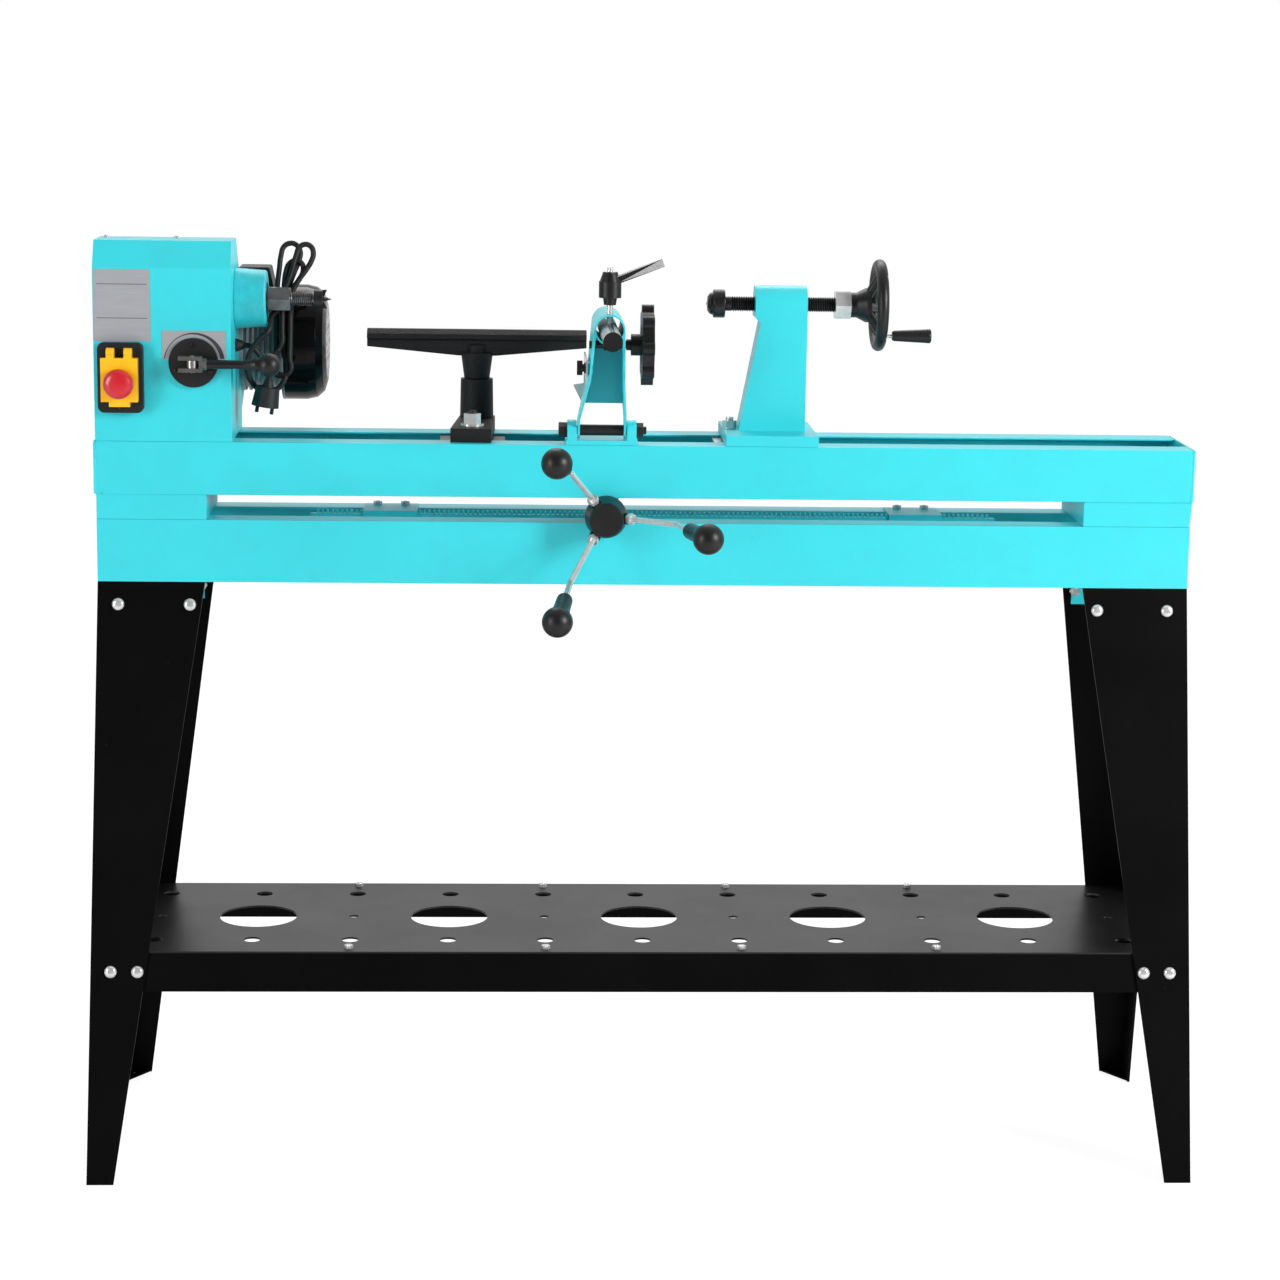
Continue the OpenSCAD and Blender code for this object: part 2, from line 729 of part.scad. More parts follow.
module switch_base() {
    color(black) difference() {
        union() {
            translate([switch_x, front, switch_z]) along_front() linear_extrude(bezel_t) round_rect(57, 88, 8);
            translate([switch_x - 19.7, front, switch_z - 34.7]) cube([39.4, 36, 69.4]);
        }
        // well behind the flap, and the start button's guide
        translate([switch_x - 15, front - bezel_t - 1, switch_z - 24]) cube([30, 7, 44]);
        translate([switch_x, front + 20, switch_z + 8]) along_front() cylinder(h = 60, r = 6.3);
    }
}

module start_button() {
    color([0.1, 0.6, 0.25]) translate([switch_x, front - 2, switch_z + 8]) along_front() cylinder(h = 9, r = 6);
}

flap_w = 46;
flap_h = 55;
flap_z = switch_z - 1.5;
hinge_y = front - bezel_t - 6;
hinge_z = switch_z + 33;

module switch_flap() {
    y0 = flap_face;
    deep = flap_t - 0.5;
    color([0.98, 0.74, 0.07]) difference() {
        union() {
            translate([switch_x - flap_w / 2, y0, flap_z - flap_h / 2]) cube([flap_w, deep, flap_h]);
            translate([switch_x - 13, y0, flap_z - flap_h / 2 - 6]) cube([26, deep, 7]);
            for (x = [-16, 6]) translate([switch_x + x, 0, 0]) {
                translate([0, y0, flap_z + flap_h / 2 - 1]) cube([10, deep, 5]);
                translate([0, hinge_y, hinge_z]) along_x() cylinder(h = 10, r = 5.5);
            }
        }
        translate([switch_x - flap_w / 2 + 3, y0 + 4, flap_z - flap_h / 2 + 3])
            cube([flap_w - 6, deep, flap_h - 6]);
        translate([switch_x, 0, flap_z - 4]) along_front() cylinder(h = 200, r = 8.1);
    }
}

module stop_button() {
    color([0.82, 0.1, 0.17]) translate([switch_x, flap_face + 7, flap_z - 4]) along_front() {
        cylinder(h = 12, r = 8);
        translate([0, 0, 11.5]) rotate_extrude() polygon([[0, 0], [18.6, 0], [18.9, 4], [18, 8],
            [15, 11.4], [10, 13.6], [0, 14.6]]);
    }
}

module speed_disc() {
    color(black) difference() {
        translate([speed_x, front, speed_z]) along_front() cylinder(h = disc_t, r = 31);
        translate([speed_x, front + 5, speed_z]) along_front() cylinder(h = 20, r = 6 + running);
    }
}

pin_r = 3;
// Shaft through the front, with the flat eye that carries the lever's fork
module speed_shaft() {
    color(steel) difference() {
        union() {
            translate([speed_x, front + 40, speed_z]) along_front() cylinder(h = 40 + disc_t, r = 6);
            translate([speed_x, front - 4, speed_z]) along_front() cylinder(h = -lever_y + front - 4, r = 4.4);
            translate([speed_x, lever_y, speed_z - 4.7]) cylinder(h = 9.4, r = 6.5);
            translate([speed_x - 5, front + 36, speed_z - 22]) cube([10, 4, 30]);
        }
        translate([speed_x, lever_y, speed_z - 10]) cylinder(h = 20, r = pin_r + running);
    }
}

module speed_lever() {
    color(dark_steel) translate([speed_x, lever_y, speed_z]) {
        for (s = [-1, 1]) translate([-17, -6, s > 0 ? 5 : -10]) cube([27, 12, 5]);
        translate([9, -6, -10]) cube([4, 12, 20]);
        translate([0, 0, -11]) cylinder(h = 22, r = pin_r);
        translate([12, 0, 0]) along_x() hex(13, 6);
        translate([12, 0, 0]) along_x() cylinder(h = 24, r = 4);
    }
    color(black) translate([speed_x + 18, lever_y, speed_z]) along_x() difference() {
        rotate_extrude() polygon([[0, 0], [6, 0], [5.2, 46], [7, 56], [9, 62], [9, 66],
            for (a = [-50:10:90]) [15 * cos(a), 77.5 + 15 * sin(a)]]);
        translate([0, 0, -1]) cylinder(h = 20, r = 4.2);
    }
}

// Blank instruction plate and blank scale plate
module blank_plates() {
    color([0.73, 0.75, 0.78]) {
        translate([head_left + 1, front - plate_t, bed_top + 126]) cube([71, plate_t, 90]);
        difference() {
            translate([speed_x - 39, front - plate_t, speed_z + 4]) cube([80, plate_t, 36]);
            translate([speed_x, front + 5, speed_z]) along_front() cylinder(h = 20, r = 31.3);
        }
    }
}

// ---------- mains lead ----------

module cable_grommet() {
    color(black) translate([head_right, grommet_y, grommet_z]) along_x() difference() {
        rotate_extrude() polygon([[cord_r + 0.1, -6], [8.5, -6], [8.5, -sheet - 0.1], [6.9, -sheet - 0.1], [6.9, 0.1],
            [8.5, 0.1], [8, 3], [5.5, 10], [cord_r + 0.1, 10]]);
    }
}

module power_cord() {
    color(black) translate([head_right, 0, bed_top]) {
        cord_tube(lead_in, cord_r);
        cord_tube(lead_out, cord_r);
        cord_tube(loose_turn, cord_r);
    }
}

// Tied hank of the lead, behind the spindle nose and in front of the motor
module cord_bundle() {
    color(black) translate([head_right, bundle_mid_y, bed_top + bundle_turn_z]) rotate([-bundle_lean, 0, 0])
        translate([0, 0, -bundle_turn_z])
        slab_y(-bundle_t / 2, bundle_t) {
            for (p = bundle_line) translate([p[0], p[1]]) circle(p[2]);
            for (i = [0:len(bundle_line) - 2]) {
                a = [bundle_line[i][0], bundle_line[i][1]];
                b = [bundle_line[i + 1][0], bundle_line[i + 1][1]];
                side = [b[1] - a[1], a[0] - b[0]] / norm(b - a);
                wide_a = bundle_line[i][2] * side;
                wide_b = bundle_line[i + 1][2] * side;
                polygon([a + wide_a, b + wide_b, b - wide_b, a - wide_a]);
            }
        }
}

module power_plug() {
    color(black) translate(plug_top + [head_right, 0, bed_top]) rotate([0, plug_tilt, 0]) {
        difference() {
            union() {
                translate([0, 0, -10]) cylinder(h = 10, r1 = 8, r2 = 5);
                translate([0, 0, -34]) cylinder(h = 25, r1 = 17.5, r2 = 15);
            }
            for (s = [-1, 1]) translate([s * 9.5, 0, -35]) cylinder(h = 6, r = 2.4);
        }
        for (s = [-1, 1]) translate([s * 9.5, 0, -43]) cylinder(h = 14, r = 2.4);
    }
}

// ---------- tool rest ----------

// The banjo's own frame: its clamp bolt's axis is z, its length runs to the back
module at_banjo() {
    translate([rest_x - 3, banjo_bolt_y, bed_top]) rotate(banjo_yaw) children();
}

post_away = rest_post_y - banjo_bolt_y;

module banjo() {
    color(black) at_banjo() difference() {
        union() {
            linear_extrude(banjo_h) polygon([[-26, -32], [26, -32], [23, post_away + 20], [-23, post_away + 20]]);
            translate([0, post_away, 0]) cylinder(h = socket_top - bed_top, r1 = socket_r + 1.2, r2 = socket_r);
        }
        translate([-20, -26, -1]) cube([40, post_away, banjo_h - 5]);
        translate([-clamp_bolt_r - 0.5, -16, -1]) cube([2 * clamp_bolt_r + 1, 52, banjo_h + 2]);
        translate([0, post_away, 12]) cylinder(h = 200, r = post_r + running);
        translate([0, post_away, socket_top - bed_top - 18]) along_back() cylinder(h = 60, r = 4 + running);
    }
}

// Clamp bolt with its plate under the rails
module banjo_bolt() {
    color(dark_steel) at_banjo() {
        translate([0, 0, -sheet - 14]) cylinder(h = banjo_h + sheet + 14 + 20, r = clamp_bolt_r);
        translate([0, 0, -sheet - 24]) hex(16, 10.5);
    }
    color(dark_steel) translate([rest_x - 45, -trough - 12, bed_top - sheet - easy - 8]) difference() {
        cube([84, 2 * trough + 24, 8]);
        translate([42, banjo_bolt_y + trough + 12, -1]) cylinder(h = 12, r = clamp_bolt_r);
    }
}

module banjo_nut() {
    color(steel) at_banjo() translate([0, 0, banjo_h]) difference() {
        union() {
            cylinder(h = 2.5, r = 15);
            translate([0, 0, 2]) hex(19, 14);
        }
        translate([0, 0, -1]) cylinder(h = 30, r = clamp_bolt_r + running);
    }
}

module at_post() {
    at_banjo() translate([0, post_away, -bed_top]) children();
}

module rest_post() {
    color(steel) at_post() translate([0, 0, bed_top + 14]) cylinder(h = blade_top - bed_top - 34, r = post_r);
}

// Cast tool rest: a tapered hub on the post and the blade
module tool_rest() {
    half = rest_length / 2;
    hub_z = socket_top + easy;
    color(black) at_post() rotate(-banjo_yaw) difference() {
        union() {
            translate([0, 0, hub_z]) cylinder(h = blade_top - 30 - hub_z, r1 = 16.5, r2 = 21);
            slab_y(-7, 14) polygon([[-half, blade_top - 6], [-half, blade_top - 23], [-24, blade_top - 34],
                [24, blade_top - 34], [half, blade_top - 23], [half, blade_top - 6]]);
            slab_x(-half, rest_length) polygon([[-14, blade_top - 12], [-12, blade_top - 6], [-3, blade_top],
                [4, blade_top], [7, blade_top - 6], [7, blade_top - 24], [3, blade_top - 24],
                [-6, blade_top - 14]]);
        }
        translate([0, 0, bed_top]) cylinder(h = blade_top - bed_top - 20 + easy, r = post_r + running);
    }
}

module rest_lock_lever() {
    h = socket_top - 18;
    color(black) at_post() translate([0, 0, h]) along_back() {
        translate([0, 0, post_r + easy]) cylinder(h = 20, r = 4);
        translate([0, 0, 28]) cylinder(h = 14, r = 8);
        translate([0, -4, 35]) rotate([80, 0, 0]) cylinder(h = 48, r1 = 5, r2 = 4);
    }
}

// ---------- copier ----------

module carriage() {
    ear_left = copier_x - foot_left - ear_play - ear_t;
    ear_right = copier_x + foot_right + ear_play;
    gap_mid = copier_x - 6;
    shaft_block = 36;
    color(paint) difference() {
        union() {
            translate([gap_mid - 46, front, bed_top]) cube([92, bed_width, plate_h]);
            translate([gap_mid - 40, -trough + easy, rail_bottom + 7]) cube([80, 2 * trough - 2 * easy, rail_height - 6]);
            translate([copier_x - shaft_block / 2, -trough + 4, slot_bottom - 3])
                cube([shaft_block, 22, rail_bottom - slot_bottom + 12]);
            for (x = [ear_left, ear_right]) {
                translate([x, front, bed_top]) cube([ear_t, 2 * ear_r - 4, pivot_z - bed_top]);
                translate([x, pivot_y, pivot_z]) along_x() cylinder(h = ear_t, r = ear_r - 2);
            }
        }
        translate([gap_mid - 60, pivot_y, pivot_z]) along_x() cylinder(h = 120, r = pivot_r + running);
        translate([copier_x, 0, capstan_z]) along_front() cylinder(h = 100, r = shaft_r + running);
    }
}

// X-Z outline of one side wall of the tower; s is -1 for the left and 1 for the right
module side_wall(s) {
    low = s < 0 ? foot_left : foot_right;
    mid = s < 0 ? 25 : 21;
    top = tube_r + 0.3;
    translate([copier_x, 0]) polygon([[s * top, tube_z], [s * mid, tube_z - 67], [s * low, pivot_z + 14],
        [s * low, pivot_z - 14], [s * (low - sheet), pivot_z - 14], [s * (low - sheet), pivot_z + 15],
        [s * (mid - sheet), tube_z - 66.6], [s * (top - sheet), tube_z]]);
}

module tower_side() {
    polygon([[tube_front + 4, tube_z], [tube_rear - 4, tube_z], [tube_rear - 4, tube_z - 30],
        [pivot_y + 11, pivot_z], [pivot_y - 11, pivot_z], [tube_front + 14, tube_z - 45]]);
    translate([pivot_y, pivot_z]) circle(11);
}

module copier_tower() {
    color(paint) difference() {
        union() {
            for (s = [-1, 1]) intersection() {
                slab_y(tube_front, tube_length) side_wall(s);
                slab_x(copier_x - 60, 120) tower_side();
            }
            translate([copier_x, tube_front + tube_length, tube_z]) along_front() cylinder(h = tube_length, r = tube_r);
            slab_y(pivot_y + 16, sheet) translate([copier_x, 0]) polygon([[-18, tube_z - 16], [19, tube_z - 16],
                [20, tube_z - 67], [21.5, tube_z - 102], [-30, tube_z - 102], [-23, tube_z - 67]]);
            translate([strip_x, feed_y, tube_z - 51]) along_x() cylinder(h = 6, r = 8);
        }
        translate([copier_x, tube_rear + 1, tube_z]) along_front() cylinder(h = tube_length + 2, r = bore_r);
        translate([copier_x - 60, pivot_y, pivot_z]) along_x() cylinder(h = 120, r = pivot_r + running);
        translate([copier_x - 60, feed_y, feed_z]) along_x() cylinder(h = 120, r = 5 + running);
        translate([copier_x - 9, feed_y - 11, tube_z - 30]) cube([18, 22, 25]);
        translate([copier_x, stud_y, tube_z]) cylinder(h = 40, r = 4 + running);
        translate([strip_x - 1, feed_y, tube_z - 51]) along_x() cylinder(h = 20, r = 3 + running);
    }
}

// Pivot bolt with its nut, and the spacer tube between the tower's feet
module pivot_bolt() {
    left = copier_x - foot_left - ear_play - ear_t;
    right = copier_x + foot_right + ear_play + ear_t;
    tube_left = copier_x - foot_left + sheet + easy;
    tube_right = copier_x + foot_right - sheet - easy;
    color(dark_steel) translate([0, pivot_y, pivot_z]) {
        translate([left - 11, 0, 0]) along_x() hex(17, 11);
        translate([left - 1, 0, 0]) along_x() cylinder(h = right - left + 14, r = pivot_r);
    }
    color(dark_steel) translate([right, pivot_y, pivot_z]) along_x() difference() {
        hex(17, 9);
        translate([0, 0, -1]) cylinder(h = 20, r = pivot_r);
    }
    color(black) translate([tube_left, pivot_y, pivot_z]) along_x() difference() {
        cylinder(h = tube_right - tube_left, r = pivot_r + 2);
        translate([0, 0, -1]) cylinder(h = 80, r = pivot_r);
    }
}

// Round bar with a keyway on top, rack teeth below and a plug in its front end
module cutter_bar() {
    gap = PI * feed_module;
    color(steel) difference() {
        translate([copier_x, bar_front + bar_length, bar_z]) along_front() cylinder(h = bar_length, r = bar_r);
        translate([copier_x - 3, bar_front + 8, bar_z + bar_r - 3]) cube([6, bar_length - 20, 5]);
        translate([copier_x - 20, 0, rack_line]) rotate([90, 0, 90]) linear_extrude(40)
            translate([feed_y, 0]) rotate(180) polygon(concat(
                [[29 * gap, 4], [-33 * gap, 4]],
                [for (i = [-33:29], p = [[-0.31, 1.0], [-0.16, -1.15], [0.16, -1.15], [0.31, 1.0]])
                    [(i + p[0]) * gap, p[1] * feed_module]]));
    }
}

module cutter() {
    color(dark_steel) translate([copier_x, bar_front + bar_length, bar_z]) {
        translate([-4, 0, -1]) cube([8, 14, 8]);
        translate([-2.5, 14, 1]) rotate([0, 90, 0]) linear_extrude(5) polygon([[0, 0], [-6, 0], [-6, 8], [-3, 11]]);
    }
}

module clamp_lever() {
    base = bed_top + 183;
    color(black) translate([copier_x, stud_y, 0]) {
        translate([0, 0, bar_z + bar_r + easy]) cylinder(h = base - bar_z - bar_r, r = 4);
        translate([0, 0, base]) cylinder(h = 10, r1 = 7.5, r2 = 9);
        translate([0, 0, base + 9]) cylinder(h = 20, r = 14);
        translate([0, 0, base + 28]) cylinder(h = 13, r1 = 13.5, r2 = 9);
        translate([0, 0, base + 40]) cylinder(h = 6.5, r = 3.8);
        translate([4, -5.5, base + 24]) rotate([0, -21, 0]) cube([68, 11, 10]);
    }
}

// Lobed wheel on the feed pinion's shaft
module feed_wheel() {
    wall = copier_x - 26.5;
    wheel = copier_x + 41;
    lobes = 8;
    grip_r = 9;
    ring_r = feed_wheel_d / 2 - grip_r;
    color(black) translate([0, feed_y, feed_z]) {
        translate([wall + 2, 0, 0]) along_x() cylinder(h = wheel - wall, r = 5);
        translate([copier_x - 6, 0, 0]) along_x() linear_extrude(12) rotate(90) gear_outline(feed_module, feed_teeth);
        translate([copier_x + 22, 0, 0]) along_x() cylinder(h = 8, r = 7);
        translate([copier_x + 28, 0, 0]) along_x() cylinder(h = 15, r = 13.5);
        translate([wheel, 0, 0]) along_x() linear_extrude(15) {
            difference() {
                circle(ring_r + 2);
                for (a = [0:90:270]) rotate(a + 45) translate([ring_r * 0.55, 0]) circle(ring_r * 0.2);
            }
            for (i = [0:lobes - 1]) rotate(i * 360 / lobes) translate([ring_r, 0]) circle(grip_r);
        }
    }
}

module thumb_screw() {
    color(black) translate([strip_x - 2.5, feed_y, tube_z - 51]) rotate([0, -90, 0]) {
        translate([0, 0, -9]) cylinder(h = 12, r = 3);
        cylinder(h = 2, r = 7);
        translate([0, 0, 1.5]) cylinder(h = 6, r = 5);
        translate([-9, -2.5, 4]) cube([18, 5, 7]);
    }
}

// Strip held by the thumb screw, bent outwards into a pointed tongue
module tracer_plate() {
    z = tube_z - 51;
    tongue_y = tube_rear;
    color([0.7, 0.72, 0.74]) difference() {
        union() {
            translate([strip_x - 2.5, feed_y - 12, z - 11]) cube([2.5, tongue_y - feed_y + 12 + 3, 22]);
            slab_y(tongue_y, 3) polygon([[strip_x, z + 11], [strip_x - 2.5, z + 11], [strip_x - 2.5, z - 29],
                [strip_x - 16, z - 31], [strip_x - 4, z - 55], [strip_x, z - 40]]);
        }
        translate([strip_x - 10, feed_y, z]) along_x() cylinder(h = 20, r = 3 + running);
    }
}

// ---------- capstan ----------

// Frame of a rod's stretch between two places given as radius and Y, +Z along the rod
module along_rod(i, from, to) {
    d = to - from;
    rotate([0, rod_angles[i], 0]) translate([from[0], from[1], 0])
        rotate([0, 0, atan2(d[1], d[0])]) rotate([0, 90, 0]) children();
}

module capstan_hub() {
    color(black) translate([copier_x, 0, capstan_z]) difference() {
        union() {
            translate([0, -5, 0]) along_front() cylinder(h = -5 - hub_back, r = shaft_r);
            translate([0, 6, 0]) along_front() linear_extrude(12) gear_outline(capstan_module, capstan_teeth);
            translate([0, hub_back, 0]) along_front() rotate_extrude() polygon([[0, -1], [20, -1], [24, 0],
                [hub_back_r, 4], [hub_back_r, 10], [hub_front_r + 2, 38], [hub_front_r, 41], [0, 41]]);
            for (i = [0:2]) along_rod(i, rod_root, rod_bend) translate([0, 0, 12]) cylinder(h = nut_away - 12, r = 7.5);
        }
        for (i = [0:2]) along_rod(i, rod_root, rod_bend) translate([0, 0, 19.5]) cylinder(h = 30, r = rod_r + 0.05);
    }
}

module capstan_rods() {
    first = norm(rod_bend - rod_root);
    second = norm(ball_place - rod_bend) - knob_length + 15;
    color(steel) translate([copier_x, 0, capstan_z]) for (i = [0:2]) {
        along_rod(i, rod_root, rod_bend) {
            translate([0, 0, 20]) cylinder(h = first - 20, r = rod_r);
            translate([0, 0, nut_away]) hex(13, 7);
            translate([0, 0, first]) sphere(rod_r + 0.3);
        }
        along_rod(i, rod_bend, ball_place) cylinder(h = second, r = rod_r);
    }
}

module capstan_knobs() {
    start = norm(ball_place - rod_bend) - knob_length;
    color(black) translate([copier_x, 0, capstan_z]) for (i = [0:2])
        along_rod(i, rod_bend, ball_place) translate([0, 0, start]) difference() {
            rotate_extrude() polygon([[0, 0], [8.5, 0], [10, 3], [10.5, 30], [11.5, 44], [14, 56],
                for (a = [-42:6:90]) [ball_r * cos(a), knob_length + ball_r * sin(a)]]);
            translate([0, 0, -1]) cylinder(h = 16.2, r = rod_r + 0.05);
        }
}

// ---------- tailstock ----------

// Y-Z outline of the folded column, drawn in by t
module column_outline(t) {
    r = column_r - t;
    translate([0, axis_z]) circle(r);
    translate([-r, bed_top]) square([2 * r, centre_height]);
}

// X-Z outline of the column, drawn in by t
module column_face(t) {
    polygon([[tail_x - 86 + 1.1 * t, bed_top + (t > 0 ? -1 : tail_base_h - 1)],
        [tail_x - t, bed_top + (t > 0 ? -1 : tail_base_h - 1)], [tail_x - t, axis_z + 30],
        [column_left + t, axis_z + 30], [column_left + t, axis_z - 16], [column_left + 7 + t, axis_z - 23]]);
}

module tailstock_body() {
    color(paint) difference() {
        union() {
            difference() {
                intersection() {
                    slab_y(-40, 80) column_face(0);
                    slab_x(tail_left, 140) column_outline(0);
                }
                intersection() {
                    slab_y(-40, 80) column_face(sheet);
                    slab_x(tail_left, 140) column_outline(sheet);
                }
            }
            difference() {
                translate([tail_left, front, bed_top]) cube([tail_right - tail_left, bed_width, tail_base_h]);
                translate([tail_left + 4, front + 4, bed_top - 1])
                    cube([tail_right - tail_left - 8, bed_width - 8, tail_base_h - 4 + 1]);
            }
            translate([tail_left + 1, -12, bed_top]) cube([tail_right - tail_left - 2, 24, tail_base_h - 1]);
            translate([column_left + 1, 0, axis_z]) along_x() cylinder(h = tail_x - column_left - 2, r = 16);
        }
        translate([column_left - 20, 0, axis_z]) along_x() cylinder(h = 140, r = quill_r + running);
        translate([tail_bolt_x, 0, bed_top - 10]) cylinder(h = 40, r = clamp_bolt_r + 0.5);
    }
}

module tail_clamp() {
    color(steel) translate([tail_bolt_x, 0, bed_top]) {
        translate([0, 0, -sheet - 20]) cylinder(h = tail_base_h + sheet + 20 + 15, r = clamp_bolt_r);
        translate([0, 0, tail_base_h]) cylinder(h = 2, r = 9);
        translate([0, 0, tail_base_h + 1.5]) hex(16, 9);
        translate([0, 0, -sheet - 24]) hex(16, 8);
        translate([-20, -trough - 12, -sheet - easy - 8]) cube([50, 2 * trough + 24, 8]);
    }
}

quill_end = tail_x - 105;
// Threaded quill; the lock nut belongs to the wheel
module quill_screw() {
    color(black) translate([quill_end, 0, axis_z]) along_x() cylinder(h = wheel_x + 9.5 - quill_end, r = quill_r);
}

module live_centre() {
    color(dark_steel) translate([quill_end - easy, 0, axis_z]) rotate([0, -90, 0]) rotate_extrude()
        polygon([[0, 0], [17.4, 0], [18, 0.8], [18, 14], [17.2, 15], [14.4, 15], [13.6, 19], [9, 22.4],
            [3, 23], [0, 24]]);
}

// Handwheel with its lock nut and the fixed stud of the crank handle
module tail_wheel() {
    ring = tail_wheel_d / 2 - rim_r;
    color(black) translate([nut_x, 0, axis_z]) along_x() difference() {
        rotate(30) hex(34, wheel_x - nut_x);
        translate([0, 0, -1]) cylinder(h = 40, r = quill_r + running);
    }
    color(black) translate([wheel_x, 0, axis_z]) {
        along_x() difference() {
            union() {
                rotate_extrude() polygon([[0, 0], [16, 0], [16, 8], [22, 20], [22, 26], [0, 26]]);
                translate([0, 0, rim_x - wheel_x]) rotate_extrude() translate([ring, 0]) circle(rim_r);
            }
            translate([0, 0, -1]) cylinder(h = 11, r = quill_r + running);
        }
        for (a = [20:120:260]) rotate([a, 0, 0]) translate([16, 0, 0]) rotate([0, 26, 0]) cylinder(h = ring + 3, r = 6);
    }
    color(steel) translate([rim_x + 5, crank_y, crank_z]) along_x() cylinder(h = 52, r = 3);
}

module crank_handle() {
    color(black) translate([rim_x + 14, crank_y, crank_z]) along_x() difference() {
        rotate_extrude() polygon([[0, 0], [5.6, 0], [6.8, 3], [8.8, 43], [9.2, 48], [8.2, 50], [0, 50]]);
        translate([0, 0, -1]) cylinder(h = 45, r = 3 + running);
    }
}

leg_front_left();
leg_front_right();
leg_rear_left();
leg_rear_right();
shelf_plate();
shelf_rails();
leg_bolts();
machine_screws();
bed_rails();
lower_rails();
bed_ends();
rack_bar();
headstock_housing();
bearing_housing();
spindle_bearings();
spindle();
drive_centre();
spindle_pulley();
motor_pulley();
drive_belt();
motor_body();
motor_end_cover();
motor_rotor();
terminal_box();
switch_base();
switch_flap();
stop_button();
start_button();
speed_disc();
speed_shaft();
speed_lever();
blank_plates();
cable_grommet();
power_cord();
cord_bundle();
power_plug();
banjo();
banjo_bolt();
banjo_nut();
rest_post();
tool_rest();
rest_lock_lever();
carriage();
copier_tower();
pivot_bolt();
cutter_bar();
cutter();
clamp_lever();
feed_wheel();
thumb_screw();
tracer_plate();
capstan_hub();
capstan_rods();
capstan_knobs();
tailstock_body();
tail_clamp();
quill_screw();
live_centre();
tail_wheel();
crank_handle();
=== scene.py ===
"""Looks of a wood lathe with a copying attachment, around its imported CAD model.

Metres, +X along the bed away from the headstock, +Y to the back, +Z up.
"""

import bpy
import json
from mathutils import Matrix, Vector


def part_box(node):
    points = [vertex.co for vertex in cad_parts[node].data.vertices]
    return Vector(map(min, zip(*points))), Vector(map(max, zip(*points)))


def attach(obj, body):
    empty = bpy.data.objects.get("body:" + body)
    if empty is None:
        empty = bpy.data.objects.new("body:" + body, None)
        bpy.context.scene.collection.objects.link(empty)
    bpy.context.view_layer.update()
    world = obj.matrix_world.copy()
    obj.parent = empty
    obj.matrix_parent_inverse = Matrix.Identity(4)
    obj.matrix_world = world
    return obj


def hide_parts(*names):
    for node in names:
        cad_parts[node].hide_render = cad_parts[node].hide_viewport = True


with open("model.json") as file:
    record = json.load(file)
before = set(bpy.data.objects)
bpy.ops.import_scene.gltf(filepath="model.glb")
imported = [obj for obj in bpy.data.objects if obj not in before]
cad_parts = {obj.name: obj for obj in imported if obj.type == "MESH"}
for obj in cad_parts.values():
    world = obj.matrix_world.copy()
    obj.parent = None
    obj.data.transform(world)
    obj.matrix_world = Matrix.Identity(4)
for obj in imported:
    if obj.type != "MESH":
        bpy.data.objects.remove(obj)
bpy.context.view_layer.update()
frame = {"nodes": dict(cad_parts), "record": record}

import json  # noqa: E402
import math  # noqa: E402
from math import cos, pi, radians, sin  # noqa: E402

import bmesh  # noqa: E402
import bpy  # noqa: E402
from mathutils import Matrix, Vector  # noqa: E402

MM = 0.001
NODES = frame["nodes"]
BODY_OF = {n: b for b, members in frame["record"]["behaviour"]["bodies"].items() for n in members}


# ---------------------------------------------------------------- camera and light

CAMERA_PLACE = Vector((-0.1904, -3.9558, 1.4371))
CAMERA_YAW, CAMERA_PITCH, CAMERA_ROLL = -0.0471, -0.1916, 0.0151
CAMERA_LENS = 86.34


def add_camera():
    ahead = cos(CAMERA_PITCH)
    forward = Vector((-sin(CAMERA_YAW) * ahead, cos(CAMERA_YAW) * ahead, sin(CAMERA_PITCH)))
    level = Vector((cos(CAMERA_YAW), sin(CAMERA_YAW), 0))
    above = level.cross(forward)
    right = cos(CAMERA_ROLL) * level + sin(CAMERA_ROLL) * above
    up = right.cross(forward)
    data = bpy.data.cameras.new("camera")
    data.lens = CAMERA_LENS
    data.sensor_width = 36
    data.clip_end = 60
    camera = bpy.data.objects.new("camera", data)
    turned = Matrix((right, up, -forward)).transposed().to_4x4()
    camera.matrix_world = Matrix.Translation(CAMERA_PLACE) @ turned
    bpy.context.scene.collection.objects.link(camera)
    bpy.context.scene.camera = camera


def add_softbox(name, place, target, width, height, power):
    data = bpy.data.lights.new(name, "AREA")
    data.shape = "RECTANGLE"
    data.size, data.size_y = width, height
    data.energy = power
    lamp = bpy.data.objects.new(name, data)
    lamp.location = place
    lamp.rotation_euler = (Vector(target) - Vector(place)).to_track_quat("-Z", "Y").to_euler()
    bpy.context.scene.collection.objects.link(lamp)


# ---------------------------------------------------------------- shaders


